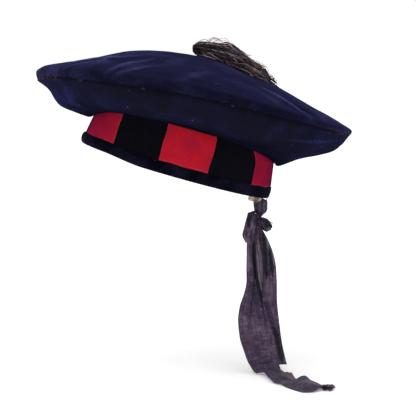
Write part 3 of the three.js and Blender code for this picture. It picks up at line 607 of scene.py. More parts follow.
def velvet(name, deep, body, bright, sheen, tint, speck=(9.0, 9.0, 9.0)):
    """Velvet: a slow mottle, brushed pile and painted sheen highlights in its brushed colour, painted shade
    near black, fine pile.
    """
    material, tree, shader = new_material(name, 0.95, sheen, tint, sheen_roughness=0.5, specular=0.0)
    place = object_place(tree)
    fine = mottle(tree, place, 330.0, 2.0)
    slow = mottle(tree, stretched(tree, place, (1.0, 1.0, 0.35)), 38.0, 2.0)
    base = blend_colors(tree, fine, deep, blend_colors(tree, slow, deep, body))
    # Brushed pile and painted sheen highlights lighten the velvet towards its brushed colour
    nap = reckon(tree, "MULTIPLY", reckon(tree, "MULTIPLY", mesh_value(tree, "nap"), fine), 1.8, True)
    color = blend_colors(tree, nap, base, bright)
    # Painted shade turns the velvet near black, and rubbed wear turns it brown, where the mesh marks them
    color = overlaid(tree, color, {"painted_shade": (0.0012, 0.0012, 0.003), "wear": (0.046, 0.026, 0.032)})
    if speck is not None:
        lint = add(tree, "ShaderNodeGroup", {"Vector": place, "Speck": speck}, node_tree=LINT)
        color = blend_colors(tree, lint.outputs["Mask"], color, (0.6, 0.6, 0.62))
    return finished(material, tree, shader, color, pile_height(tree, place, 1700.0), 0.35, 0.0004)


def wool_cloth():
    material, tree, shader = new_material(
        "crimson cloth", 0.9, 0.025, (1.0, 0.3, 0.4), sheen_roughness=0.5, specular=0.0
    )
    place = object_place(tree)
    base = blend_colors(tree, mottle(tree, place, 60.0, 2.0), (0.33, 0.0075, 0.016), (0.53, 0.0145, 0.033))
    base = blend_colors(tree, mottle(tree, place, 420.0, 1.6), base, (0.37, 0.0075, 0.019))
    # Painted shade, darker and more purple, and painted highlights along the cut edges, where the mesh marks
    # them
    color = overlaid(tree, base, {"shade": (0.125, 0.0035, 0.032), "edge": (0.38, 0.05, 0.07)})
    return finished(material, tree, shader, color, pile_height(tree, place, 1300.0), 0.4, 0.0004)


def silk(name, pleat_shade, body, bright):
    """Faded silk: painted shade in its pleats, painted highlights on some ridges, dusty mottle, streaked
    along its length, with fine ribs.
    """
    material, tree, shader = new_material(
        name, 0.55, 0.05, (0.75, 0.7, 0.95), sheen_roughness=0.35, specular=0.16
    )
    uv, place = cloth_uv(tree), object_place(tree)
    weave = weave_of(tree, uv, 0.9, 1.15)
    lengthwise, crosswise = stretched(tree, uv, (0.55, 0.035, 1.0)), stretched(tree, uv, (0.06, 0.5, 1.0))
    total = mottle(tree, place, 75.0, 3.4)
    for vector, scale, contrast in ((lengthwise, 1.0, 3.2), (crosswise, 1.0, 2.6), (place, 380.0, 3.2)):
        total = reckon(tree, "ADD", total, mottle(tree, vector, scale, contrast))
    dust = between(tree, total, 1.0, 3.0)
    deep = tuple(0.35 * value + 0.65 * painted_shade for value, painted_shade in zip(body, pleat_shade))
    base = blend_colors(tree, between(tree, dust, 0.0, 0.5), deep, body)
    base = blend_colors(tree, between(tree, dust, 0.5, 1.0), base, bright)
    threads = blend_colors(tree, weave["Mask"], blend_colors(tree, 0.5, body, base), base)
    # Painted highlights, painted brownish highlights and painted shade in the pleats, where the mesh marks
    # them
    layers = {"light": (0.2, 0.155, 0.19), "brown_highlight": (0.11, 0.055, 0.075), "pleat_shade": pleat_shade}
    return finished(material, tree, shader, overlaid(tree, threads, layers), weave["Height"], 0.35, 0.0003)


def thread_material():
    """Black-brown silk thread; its pale strands are partly thread that has lost its dye and partly painted
    highlights.
    """
    material, tree, shader = new_material(
        "toorie silk", 0.55, 0.02, (0.85, 0.65, 0.9), sheen_roughness=0.3, specular=0.12
    )
    place = object_place(tree)
    hue = mottle(tree, place, 70.0, 3.0)
    faded_and_glint = blend_colors(tree, hue, (0.46, 0.33, 0.46), (0.58, 0.43, 0.35))
    dyed = blend_colors(tree, hue, (0.009, 0.005, 0.012), (0.011, 0.0065, 0.008))
    color = overlaid(tree, dyed, {"tint": faded_and_glint})
    return finished(material, tree, shader, color, pile_height(tree, place, 2500.0), 0.3, 0.0002)


def tape_material():
    """Unbleached tape with a plain weave and brown stains."""
    material, tree, shader = new_material("cotton tape", 0.85, 0.15, (1, 0.95, 0.85), sheen_roughness=0.5)
    weave = weave_of(tree, cloth_uv(tree), 1.3, 1.3)
    base = blend_colors(tree, weave["Mask"], (0.36, 0.28, 0.2), (0.6, 0.5, 0.4))
    patchy = reckon(tree, "MULTIPLY", mesh_value(tree, "stain"), mottle(tree, object_place(tree), 150.0, 2.0))
    color = blend_colors(tree, reckon(tree, "MULTIPLY", patchy, 2.0, True), base, (0.06, 0.03, 0.02))
    return finished(material, tree, shader, color, weave["Height"], 0.5, 0.0003)


SPECK = tuple(MM * worn(spline_at(under_controls(np.radians([124.0])), np.array([[0.085]]))[0][0, 0]))
# Each velvet's deep, body and brushed colours (the brushed one also for painted sheen highlights), then its
# sheen and the sheen's tint
NAVY = velvet(
    "navy velvet", (0.0036, 0.0036, 0.0095), (0.0075, 0.0072, 0.03), (0.048, 0.048, 0.145),
    0.06, (0.28, 0.29, 0.95),
)
# The underside's copy of the same navy velvet, duller and less blue, with weaker sheen: painted shade
UNDER = velvet(
    "navy velvet underside", (0.0052, 0.0053, 0.0096), (0.0076, 0.0073, 0.023), (0.02, 0.021, 0.1),
    0.014, (0.28, 0.29, 0.9), SPECK,
)
BLACK = velvet(
    "black velvet", (0.0028, 0.0026, 0.0042), (0.0062, 0.0056, 0.0095), (0.014, 0.013, 0.022),
    0.02, (0.5, 0.5, 0.7),
)
BINDING = velvet(
    "binding velvet", (0.0015, 0.0015, 0.0035), (0.003, 0.0028, 0.0085), (0.013, 0.012, 0.028),
    0.05, (0.4, 0.4, 0.8),
)
# The seam's cord velvet is near black: painted shade of the seam's groove
PIPING = velvet(
    "piping velvet", (0.0028, 0.0025, 0.0045), (0.0055, 0.005, 0.0095), (0.012, 0.01, 0.025),
    0.04, (0.4, 0.4, 0.7), None,
)
CRIMSON = wool_cloth()
# Near black for the painted shade in the silk's pleats
PLEAT_SHADE_COLOR = (0.003, 0.0025, 0.008)
SILK = silk("dusty silk", PLEAT_SHADE_COLOR, (0.049, 0.03, 0.065), (0.15, 0.105, 0.165))
# A darker copy of the same silk for the bow's loops, knot and neck: painted shade
SILK_SHADED = silk("shaded silk", PLEAT_SHADE_COLOR, (0.035, 0.02, 0.049), (0.14, 0.09, 0.145))
THREAD = thread_material()
TAPE = tape_material()


# Crown

SEAM_PUCKERS = 115
PUCKER_DEPTH = 0.35


def crown_panel(name, controls, folds, material, rows, seam_first, seat=None):
    """A velvet panel between the crown's middle or the band and the edge seam, with its folds, brushed pile,
    painted sheen highlights and painted shade.
    """
    turns = full_turn(400)
    lines = controls(turns)
    runs = np.linspace(0, 1, rows)
    _, lengths = spline_at(lines, np.zeros((1, len(turns))))
    cut = (PIPING_DIAMETER / 2 - CORD_SEAT) / lengths
    shares = cut + runs[:, None] * (1 - cut) if seam_first else runs[:, None] * (1 - cut)
    points, _ = spline_at(lines, shares)
    normals = grid_normals(points, True)
    run = runs[:, None] + 0 * turns
    turn = turns[None, :] + 0 * run
    seam_run = run if seam_first else 1 - run
    sideways = np.abs(np.cos(turn))
    push = fold_values(folds, turn, run, "depth")
    cushion = wrinkle_noise(points, 46, 3.1) + wrinkle_noise(points, 17, 8.7) * 0.4
    # Pins the panel down at its seam and its middle, where it is sewn
    hold = np.sin(math.pi * np.clip(run, 0, 1)) ** 0.5
    drawn_in = np.sin(turn * SEAM_PUCKERS + 3 * wrinkle_noise(points, 30, 5.2))
    pucker = PUCKER_DEPTH * drawn_in * np.exp(-(seam_run * 26) ** 2)
    points = points + normals * (push + cushion * hold + pucker)[..., None]
    # Painted sheen highlights on the fold ridges and at the front and back tips, with random streaks of
    # brushed pile
    nap = fold_values(folds, turn, run, "nap", 1.8)
    tips = np.clip((sideways - 0.72) / 0.28, 0, 1) * (0.22 if seam_first else 0.3)
    nap = nap + tips * np.clip(0.6 + wrinkle_noise(points, 30, 2.0), 0, 1)
    nap = np.clip(nap + 0.16 * np.clip(wrinkle_noise(points, 22, 12.0) * 2, 0, 1), 0, 1)
    # The cloth is rubbed at the seam's front and back tips, and painted shade lies along the seam where the
    # roll shades it
    wear_place = np.exp(-(seam_run * (40 if seam_first else 75)) ** 2) * (sideways > 0.8) * 0.4
    wear = wear_place * np.clip(0.5 + wrinkle_noise(points, 6, 4.0) * 2, 0, 1)
    broadside = np.clip(1.2 - sideways, 0, 1)
    strength, narrowness = (0.45, 26) if seam_first else (0.3, 42)
    painted_shade = strength * np.exp(-((seam_run * narrowness) ** 2)) * broadside
    # On the underside, painted shade deepens towards the band, least at the front and back tips
    if seam_first:
        inward = np.clip((run - 0.2) / 0.4, 0, 1)
        deeper = np.clip((run - 0.5) / 0.42, 0, 1)
        painted_shade = np.maximum(painted_shade, 0.85 * inward**1.3 * np.clip(1.4 - sideways**2 * 1.3, 0.15, 1))
        painted_shade = np.maximum(painted_shade, 0.9 * deeper * deeper)
    # The seat rows against the band are painted in full shade
    if seat is not None:
        points = np.concatenate([points, np.stack([seat_points(turns) for seat_points in seat])])
        blank = np.zeros((len(seat), len(turns)))
        nap, wear, painted_shade = (np.concatenate(pair) for pair in ((nap, blank), (wear, blank), (painted_shade, blank + 1)))
    values = {"nap": nap, "wear": wear, "painted_shade": painted_shade}
    return cloth_shell(name, worn(points), VELVET, material, True, None, values)


ON_TOP = BAND_HEIGHT + GAP + VELVET / 2
UNDER_SEAT = [
    lambda t: band_point(t, BAND_HEIGHT - VELVET / 2, OVER_CHECKS),
    lambda t: band_point(t, ON_TOP, GAP + VELVET / 2),
    lambda t: band_point(t, ON_TOP, -BAND_WALL),
]


def build_crown():
    top = crown_panel("crown_velvet_top", top_controls, TOP_FOLDS, NAVY, 100, False)
    under = crown_panel("crown_velvet_underside", under_controls, UNDER_FOLDS, UNDER, 86, True, UNDER_SEAT)
    return [(top, "crown_top", "navy_velvet"), (under, "crown_underside", "navy_velvet")]


def edge_cord():
    """The covered cord in the seam, a little uneven, worn brown at the front and back tips."""
    turns = full_turn(720)
    middle = seam_point(turns)
    radius = PIPING_DIAMETER / 2 * (0.92 + 0.05 * np.sin(turns * 180) + 0.14 * wrinkle_noise(middle, 12, 2.0))
    tips = np.clip((np.abs(np.cos(turns)) - 0.86) / 0.1, 0, 1)
    specks = np.clip(6 * (wrinkle_noise(middle, 5, 3.3) - 0.34), 0, 1) * 0.45
    wear = np.clip(tips * (0.45 + 1.6 * wrinkle_noise(middle, 8, 7.0)) + specks, 0, 1)
    values = {"thread_radius": radius[None] * MM, "wear": wear[None]}
    return grown("edge_cord", THREADS, worn(middle)[None], {"Finish": PIPING, "Sides": 10}, values, True)


# Band


def build_headband():
    turns = full_turn(260)
    foot = BINDING_CLOTH + GAP
    upper = np.linspace(BAND_STRAIGHT, BAND_HEIGHT, 16)
    heights = np.concatenate([np.linspace(foot, BAND_STRAIGHT, 5), upper[1:]])
    points = band_point(turns[None, :], heights[:, None], -BAND_WALL / 2)
    piece = cloth_shell("band_velvet", worn(points), BAND_WALL, BLACK, True)
    return [(piece, "headband", "black_velvet")]


def build_binding():
    """Velvet rolled round the band's lower edge, puckered where it is pulled tight."""
    turns = full_turn(420)
    bulge = BINDING_BULGE_BACK + (BINDING_BULGE_FRONT - BINDING_BULGE_BACK) * (0.5 + 0.5 * np.cos(turns))
    inside = -BAND_WALL - GAP
    lining = inside - BINDING_CLOTH
    pucker = 0.35 * wrinkle_noise(band_point(turns, 0, 0), 11, 9.0)
    rolled = []
    for share in np.linspace(0, 1, 12):
        angle = math.pi * share
        out = GAP + (bulge - GAP) * math.sin(angle) ** 0.8 * (1 + 0.16 * pucker) - GAP * share
        up = BINDING_HEIGHT * (0.5 + 0.5 * math.cos(angle)) + 0.5 * pucker * math.sin(angle)
        rolled.append(band_point(turns, up, out))
    within = [
        (lining * 0.5, -0.35), (lining, 0.2), (lining, 0.4 * BINDING_HEIGHT),
        (lining, 0.75 * BINDING_HEIGHT), (inside, 0.78 * BINDING_HEIGHT), (inside, BINDING_CLOTH),
        (GAP, BINDING_CLOTH), (GAP, 0.5 * BINDING_HEIGHT),
    ]
    for out, up in within:
        rolled.append(band_point(turns, up + 0 * turns, out + 0 * turns))
    loops = np.stack(rolled, axis=1)
    nap = np.clip(0.15 + 0.5 * wrinkle_noise(loops, 16, 1.0), 0, 0.5)
    piece = ring_body("rolled_binding", worn(loops), BINDING, {"nap": nap, "wear": 0 * nap})
    return [(piece, "rim_binding", "velvet_binding")]


def half_round():
    """Distances along the band's outer face from front to back, and the turns at which they are reached."""
    steps = np.radians(np.arange(0, 181))
    return walked_along(band_point(steps, 0, 0)), steps


def turn_at(distance):
    """The turn round the hat at a distance along the band's outer face from its front middle."""
    return np.interp(distance, *half_round())


def check_spacing():
    """From the front edge of one check to the next, so that they share out the band evenly."""
    length = half_round()[0][-1]
    return (length - FRONT_PLAIN / 2 - BACK_PLAIN / 2 - CHECK_WIDTH) / (len(CHECKS) - 1)


# Checks of one side, front to back: width as a share, how far the first edge is pulled forward at the top,
# and how much painted shade the cloth takes at its front edge and at its back edge
CHECKS = table("name width pull front_shade back_shade", [
    ("front", 1, 0, 0.85, 0.4),
    ("middle", 0.985, 0, 0.05, 0.1),
    ("back", 0.74, 0.17, 0.6, 1.0),
])


def build_check(row, number, side, side_name):
    start = FRONT_PLAIN / 2 + number * check_spacing()
    end = start + row["width"] * CHECK_WIDTH
    low = BINDING_HEIGHT + GAP
    rows, columns = 46, 60
    rise, share = np.meshgrid(np.linspace(0, 1, rows), np.linspace(0, 1, columns), indexing="ij")
    # The cut edges wander by part of a millimetre, and the cloth swells a little within them
    ragged = 0.4 * np.sin(rise * 9 + number) + 0.2 * np.sin(rise * 31 + 2 * number)
    first = start - row["pull"] * CHECK_WIDTH * np.clip((rise - 0.42) / 0.5, 0, 1.3) ** 2.2 + ragged * 0.5
    corner = 1.2 * np.clip(rise - 0.9, 0, 1) * 10 * (number == 1)
    last = end + 0.35 * np.sin(rise * 7 + 3 * number + 1) - corner
    along = first + (last - first) * share
    up = low + CHECK_HEIGHT * rise + 0.25 * np.sin(share * 11 + 5 * number) * (1 - rise)
    rim = np.minimum(np.minimum(rise, 1 - rise) * CHECK_HEIGHT, np.minimum(share, 1 - share) * CHECK_WIDTH)
    puff = 0.35 * np.clip(rim / 5, 0, 1)
    points = band_point(side * turn_at(along), up, GAP + CHECK_CLOTH / 2 + puff)
    # Painted highlights along the cut edges
    edge = 0.6 * np.exp(-(rim / 0.8) ** 2) * np.clip(0.4 + wrinkle_noise(points, 5, 3.0), 0, 1)
    # Painted shade across the check, from its front edge to its back edge
    shade = row["front_shade"] + (row["back_shade"] - row["front_shade"]) * share
    shade = np.clip(shade + 0.25 * wrinkle_noise(points, 14, 6.0 + number), 0, 1) * 0.9
    uv = np.stack([along, up], axis=-1)
    thickness = CHECK_CLOTH * np.clip(rim / 1.2, 0.35, 1)
    piece = cloth_shell(f"check_cloth_{side_name}_{row['name']}", worn(points), thickness, CRIMSON, False, uv,
                        {"edge": edge, "shade": shade})
    return piece, f"check_{side_name}_{row['name']}", "red_cloth"


def build_checks():
    return [
        build_check(row, number, side, side_name)
        for number, row in enumerate(CHECKS)
        for side, side_name in ((1, "near"), (-1, "far"))
    ]


def build_tab():
    """The tape end below the rim, frayed along its lower edge and stained in the middle."""
    inside = -BAND_WALL - GAP - BINDING_CLOTH - GAP - TAB_CLOTH / 2
    half = TAB_LENGTH / 2 / (HEAD_WIDTH / 2)
    rows, columns = 26, 44
    # From the rim down, and from the tape's front edge to its back one, where it is drawn further
    share, place = np.meshgrid(np.linspace(1, 0, rows), np.linspace(-1, 1.36, columns), indexing="ij")
    ragged = 0.07 * TAB_HEIGHT * place**2 + 0.5 * np.sin(place * 17) + 0.3 * np.sin(place * 41)
    up = -TAB_DROP + ragged + share * (TAB_HEIGHT - ragged)
    wave = 0.5 * np.sin(place * 5) * (1 - share)
    points = band_point(np.radians(RIBBON_EXIT - TAB_BESIDE) + half * place, up, inside + wave)
    stain = np.exp(-(((place - 0.2) / 0.42) ** 4))
    uv = np.stack([place * TAB_LENGTH / 2, up], axis=-1)
    piece = cloth_shell("tape_end", worn(points), 0.7, TAPE, False, uv, {"stain": stain})
    return [(piece, "lining_tab", "cotton_tape")]


# Ribbon

RIBBON_INSIDE = -BAND_WALL - GAP - BINDING_CLOTH - TAB_CLOTH - 1
RIBBON_EXIT_POINT = worn(band_point(np.radians(RIBBON_EXIT), 0, RIBBON_INSIDE))
KNOT = RIBBON_EXIT_POINT + np.array([-KNOT_FORWARD, 0, -KNOT_DROP])

# Rows of cross-sections: down is a share of the piece's drop, and right, near and breadth are shares of
# RIBBON_WIDTH. turn and lift give the direction of its width in degrees.
LONG_TAIL = table("down right near breadth turn lift", [
    (0.03, -0.02, -0.1, 0.18, 0, 0),
    (0.14, -0.07, -0.16, 0.3, 0, 0),
    (0.23, -0.065, -0.19, 0.34, 4, 0),
    (0.33, -0.075, -0.12, 0.34, 6, 0),
    (0.42, -0.08, 0.06, 0.34, 0, 0),
    (0.5, -0.1, 0.12, 0.46, -4, 0),
    (0.57, -0.09, 0.15, 0.68, 0, 0),
    (0.66, -0.055, 0.18, 0.86, 6, 0),
    (0.77, 0.035, 0.24, 0.97, 12, 0),
    (0.86, 0.14, 0.3, 1, 22, 0),
    (0.94, 0.235, 0.37, 1, 34, 0),
    (0.99, 0.335, 0.49, 0.98, 42, 0),
    (0.996, 0.48, 0.83, 0.7, 34, 0),
    (0.988, 0.57, 1.24, 0.78, 46, 5),
    (0.98, 0.66, 1.58, 0.95, 56, 8),
    (0.996, 0.81, 1.86, 0.92, 60, 0),
    (0.984, 0.97, 2.27, 1, 70, 8),
    (0.972, 1.16, 2.68, 1, 80, 13),
    (0.986, 1.43, 2.76, 0.78, 82, 9),
    (0.994, 1.6, 2.78, 0.36, 76, 2),
    (0.996, 1.7, 2.8, 0.09, 66, 0),
    (0.988, 1.78, 2.85, 0.2, 60, 10),
    (0.994, 1.86, 2.93, 0.12, 60, 0),
])
SHORT_TAIL = table("down right near breadth turn lift", [
    (0.03, 0.05, 0.06, 0.18, 0, 0),
    (0.14, 0.16, 0.12, 0.42, -4, 0),
    (0.27, 0.275, 0.1, 0.53, -6, 0),
    (0.42, 0.315, -0.06, 0.57, -6, 0),
    (0.57, 0.31, -0.11, 0.62, -4, 0),
    (0.74, 0.36, -0.13, 0.68, 0, 0),
    (0.84, 0.4, -0.15, 0.72, 4, 0),
    (0.92, 0.46, -0.17, 0.74, 6, 0),
    (1, 0.54, -0.18, 0.75, 6, 0),
])
LEFT_LOOP = table("down right near breadth turn lift", [
    (-0.08, -0.02, 0.05, 0.16, 20, 0),
    (-0.3, -0.03, 0.1, 0.3, 16, 0),
    (-0.44, -0.05, 0.17, 0.34, 12, 0),
    (-0.2, -0.08, 0.25, 0.36, 8, 0),
    (0.25, -0.135, 0.28, 0.37, 6, 0),
    (0.75, -0.18, 0.25, 0.38, 4, -8),
    (1.1, -0.17, 0.17, 0.24, 4, -14),
    (1.03, -0.16, 0.1, 0.22, 4, 0),
    (0.55, -0.15, 0.07, 0.26, 4, 0),
    (0.1, -0.12, 0.04, 0.22, 8, 0),
    (-0.11, -0.04, -0.03, 0.16, 8, 0),
])
RIGHT_LOOP = table("down right near breadth turn lift", [
    (0.0, 0.04, 0.08, 0.12, -50, 70),
    (0.03, 0.15, 0.12, 0.17, -50, 65),
    (0.1, 0.27, 0.15, 0.21, -50, 55),
    (0.28, 0.36, 0.14, 0.22, -50, 40),
    (0.44, 0.37, 0.06, 0.19, -50, 30),
    (0.38, 0.3, 0, 0.16, -50, 40),
    (0.18, 0.17, -0.03, 0.14, -50, 60),
    (0.02, 0.04, -0.03, 0.12, -50, 70),
])

# How each piece is folded. A pleat is its place as a share of the breadth, and the shares of the spare cloth
# that it takes before and after the piece fans out. layer, bulge and crumple are in millimetres. marks are
# lines of places (right, height) on the hanging cloth, or (right, away, 0) where it lies, each with a width
# and a strength. They paint shade into the pleats, and highlights, some of them brownish.
RIBBON_PIECES = [
    {"name": "silk_tail_long", "node": "ribbon_tail_long", "rows": LONG_TAIL, "drop": TAIL_DROP, "steps": 260,
     "pleats": [(-0.12, 0.45, 0.2), (0.34, 0.55, 0.8)],
     "fans": (0.3, 0.42), "layer": 0.9, "bulge": 1.2, "crumple": 0.8, "held": "hung", "seed": 0.4,
     "marks": {
         "pleat_shade": [
             ([(82.3, -60), (82.6, -95), (86.9, -122), (92.8, -146)], 3.4, 1.0),
             ([(81.5, -116), (84, -128), (84.5, -140)], 10.5, 0.55),
             ([(90, -150), (94, -158)], 5, 0.35),
             ([(82.6, -198.4), (92, -199.6), (101.4, -199.1)], 1.6, 0.6),
             ([(80, -136), (79, -150)], 4.0, 0.4),
             ([(96, -28, 0), (104, -40, 0), (110, -52, 0)], 3.4, 0.9),
             ([(103, -70, 0), (116, -78, 0), (128, -84, 0)], 3.4, 1.0),
             ([(112, -92, 0), (130, -116, 0), (146, -124, 0)], 2.2, 0.45),
         ],
         "light": [
             ([(76.5, -78), (76.8, -110)], 2.2, 0.45),
             ([(85, -163), (90, -165)], 2.0, 0.45),
             ([(83, -178), (88, -178.5)], 1.8, 0.35),
             ([(71, -150), (75, -160)], 3.0, 0.3),
             ([(120, -100, 0), (140, -112, 0)], 2.4, 0.4),
         ],
         "brown_highlight": [
             ([(76, -165), (79, -185)], 7, 0.3),
             ([(110, -58, 0), (124, -72, 0)], 6.5, 1.0),
         ],
     }},
    {"name": "silk_tail_short", "node": "ribbon_tail_short", "rows": SHORT_TAIL, "drop": SHORT_TAIL_DROP,
     "steps": 200, "pleats": [(-0.38, 0.2, 1.0), (-0.2, 0.4, 0.0), (0.1, 0.4, 0.0)],
     "fans": (0.3, 0.42), "layer": 1.0, "bulge": 1.2, "crumple": 0.6, "held": "hung", "seed": 2.0,
     "marks": {
         "pleat_shade": [
             ([(82.6, -60), (83.1, -95), (86.9, -120), (92.8, -146)], 3.0, 1.0),
             ([(91, -58), (93.6, -84), (95.3, -104), (95.9, -113)], 4.2, 1.0),
             ([(97.6, -78), (100.5, -96), (102.6, -111)], 3.2, 1.0),
             ([(104.5, -166), (109, -184), (113, -204)], 6.5, 0.75),
             ([(96, -150), (102, -172), (106, -190)], 3.5, 0.4),
         ],
         "light": [
             ([(85, -66), (86.5, -84), (88.5, -108), (90.5, -124)], 2.4, 0.8),
             ([(87, -80), (87.6, -92)], 1.8, 0.6),
             ([(96.4, -68), (98.2, -94)], 1.8, 0.55),
             ([(101.5, -80), (104, -98)], 1.8, 0.4),
             ([(97, -112), (100, -140)], 6, 0.25),
         ],
     }},
    {"name": "silk_loop_left", "node": "bow_loop_left", "rows": LEFT_LOOP, "drop": BOW_DROP, "steps": 120,
     "pleats": [(-0.1, 0.5, 0.5), (0.3, 0.5, 0.5)],
     "fans": (0.4, 0.6), "layer": 0.6, "bulge": 2.6, "crumple": 1.0, "held": "gathered", "seed": 1.1,
     "marks": {
         "pleat_shade": [
             ([(78, -45), (76, -50), (77, -58)], 3.5, 0.9),
             ([(84, -44), (85, -58), (84, -74)], 3.2, 0.9),
             ([(73, -60), (75, -66)], 2, 0.5),
         ],
         "light": [
             ([(80, -50), (80.5, -60)], 2.2, 0.35),
             ([(71.5, -66), (75, -72)], 1.8, 0.4),
         ],
         "brown_highlight": [
             ([(74, -70), (80, -74)], 5, 0.45),
         ],
     }},
    {"name": "silk_loop_right", "node": "bow_loop_right", "rows": RIGHT_LOOP, "drop": BOW_DROP, "steps": 80,
     "pleats": [(-0.15, 0.5, 0.5), (0.25, 0.5, 0.5)],
     "fans": (0.4, 0.6), "layer": 0.45, "bulge": 1.6, "crumple": 0.5, "held": "gathered", "seed": 3.0,
     "marks": {
         "pleat_shade": [
             ([(93, -54), (97, -57)], 2.2, 0.85),
             ([(89, -57), (93, -63)], 2.6, 0.8),
         ],
         "light": [
             ([(98.5, -52.5), (100.6, -54)], 1.2, 1.0),
             ([(95, -59), (99, -61)], 1.6, 0.4),
         ],
     }},
]


def pleat_lines(breadth, pleats, taken, layer, bulge):
    """Cross-sections [row, place, across or depth] of ribbon laid over itself in pleats with round folds."""
    across = [-breadth / 2]
    depth = [0 * breadth]
    level = 0 * breadth
    for place, share in pleats:
        lap = share * taken / 2
        height = layer * np.clip(lap / 1.5, 0, 1)
        turn_in = np.minimum(0.9, 0.3 * lap)
        front = place * breadth + lap / 2
        hidden = place * breadth - lap / 2
        across += [front - turn_in, front, front - turn_in, hidden + turn_in, hidden, hidden + turn_in]
        over, under = level - height, level - 2 * height
        depth += [level, level - height / 2, over, over, level - 1.5 * height, under]
        level = under
    across.append(breadth / 2)
    depth.append(level)
    across, depth = np.stack(across, axis=1), np.stack(depth, axis=1)
    depth = depth + bulge * (1 - np.clip(np.abs(across) / (breadth[:, None] / 2), 0, 1) ** 2)
    lines = np.stack([across, depth], axis=-1)
    for _ in range(2):
        cut = np.empty((len(lines), 2 * lines.shape[1], 2))
        cut[:, 0], cut[:, -1] = lines[:, 0], lines[:, -1]
        cut[:, 1:-1:2] = 0.75 * lines[:, :-1] + 0.25 * lines[:, 1:]
        cut[:, 2:-1:2] = 0.25 * lines[:, :-1] + 0.75 * lines[:, 1:]
        lines = cut
    return lines


def mark_values(points, kind, marks, blotch):
    """How strongly each place carries marks of one kind, tapered to their ends and a little broken up."""
    total = np.zeros(points.shape[:-1])
    for path, width, strength in marks:
        lying = len(path[0]) == 3
        flat = points[..., [0, 1]] if lying else points[..., [0, 2]]
        path = np.array([place[:2] for place in path], float)
        nearest, along = np.full(total.shape, 1e9), np.zeros(total.shape)
        for number, (a, b) in enumerate(zip(path[:-1], path[1:])):
            step = b - a
            share = np.clip(((flat - a) @ step) / (step @ step), 0, 1)
            away = np.linalg.norm(flat - (a + share[..., None] * step), axis=-1)
            along = np.where(away < nearest, (number + share) / (len(path) - 1), along)
            nearest = np.minimum(nearest, away)
        taper = np.clip(5 * np.minimum(along, 1 - along), 0.3, 1)
        spread, power = (0.62, 4) if kind == "pleat_shade" else (0.75, 2)
        mark = strength * np.exp(-((nearest / (spread * width * taper)) ** power))
        if lying:
            mark = mark * (points[..., 2] < FLOOR_HEIGHT + 14)
        total = np.maximum(total, mark)
    rough = 0.2 if kind == "pleat_shade" else 1.0
    return np.clip(total * (1 - 0.5 * rough + rough * blotch), 0, 1)


def ribbon_piece(piece_row):
    """Ribbon through its table of cross-sections, pleated so that it keeps its flat width all along."""
    rows, steps, seed = piece_row["rows"], piece_row["steps"], piece_row["seed"]
    shares = np.linspace(0, 1, steps)
    column = {key: along_rows(rows, key, shares) for key in rows[0]}
    aside, nearer = column["right"] * RIBBON_WIDTH, column["near"] * RIBBON_WIDTH
    middles = KNOT + np.stack([aside, -nearer, -column["down"] * piece_row["drop"]], axis=-1)
    turn, lift = np.radians(column["turn"]), np.radians(column["lift"])
    widths = np.stack([np.cos(lift) * np.cos(turn), np.cos(lift) * np.sin(turn), np.sin(lift)], axis=-1)
    faces = np.cross(np.gradient(middles, axis=0), widths)
    faces /= np.linalg.norm(faces, axis=1, keepdims=True)
    breadth = np.clip(column["breadth"], 0.06, 1) * RIBBON_WIDTH

    # The cloth that the pleats take up, found so that each cross-section is as long as the ribbon is wide
    start, stop = piece_row["fans"]
    fan = np.clip((shares - start) / (stop - start), 0, 1)
    pleats = [(place, top + (low - top) * fan) for place, top, low in piece_row["pleats"]]
    form = (piece_row["layer"], piece_row["bulge"])
    least, most = np.zeros(steps), np.full(steps, 3.0 * RIBBON_WIDTH)
    for _ in range(24):
        taken = (least + most) / 2
        lines = pleat_lines(breadth, pleats, taken, *form)
        stretches = np.linalg.norm(np.diff(lines, axis=1), axis=2)
        short = stretches.sum(axis=1) < RIBBON_WIDTH
        least, most = np.where(short, taken, least), np.where(short, most, taken)
    walked_across = np.concatenate([np.zeros((steps, 1)), np.cumsum(stretches, axis=1)], axis=1)
    columns = 80
    side = np.linspace(0, 1, columns)
    across, depth = np.empty((steps, columns)), np.empty((steps, columns))
    for i in range(steps):
        across[i] = np.interp(side * walked_across[i, -1], walked_across[i], lines[i, :, 0])
        depth[i] = np.interp(side * walked_across[i, -1], walked_across[i], lines[i, :, 1])
    # Painted shade in each pleat, on the cloth just past its front fold
    pleat_shade = np.zeros((steps, columns))
    for place, share in pleats:
        lap = (share * taken / 2)[:, None]
        edge = place * breadth[:, None] + lap / 2
        later = np.cumsum(np.gradient(across, axis=1) < 0, axis=1) > 0
        shadow = np.clip(1 - np.abs(across - edge) / 1.5, 0, 1) * later * np.clip(lap / 2, 0, 1)
        pleat_shade = np.maximum(pleat_shade, shadow)
    depth -= depth.mean(axis=1, keepdims=True)
    walked = walked_along(middles)
    settle = 0.8 * np.sin(walked[:, None] / 13 + seed) * np.sin(side * 3.1 + seed)
    points = middles[:, None] + widths[:, None] * across[..., None]
    points = points + faces[:, None] * (depth + settle)[..., None]
    points += faces[:, None] * (piece_row["crumple"] * wrinkle_noise(points, 9, seed))[..., None]
    sunk = np.maximum(0, FLOOR_HEIGHT + RIBBON_CLOTH - points[..., 2].min(axis=1, keepdims=True))
    points[..., 2] += sunk
    uv = np.stack([side * RIBBON_WIDTH + 0 * across, walked[:, None] + 0 * across], axis=-1)
    material = SILK if piece_row["held"] == "hung" else SILK_SHADED
    blotch = np.clip(0.5 + wrinkle_noise(points, 4, seed + 5), 0, 1)
    marks = piece_row["marks"]
    values = {kind: mark_values(points, kind, lines, blotch) for kind, lines in marks.items()}
    values["pleat_shade"] = np.maximum(0.8 * pleat_shade, values["pleat_shade"])
    piece = cloth_shell(piece_row["name"], points, RIBBON_CLOTH, material, False, uv, values)
    return piece, walked[-1]


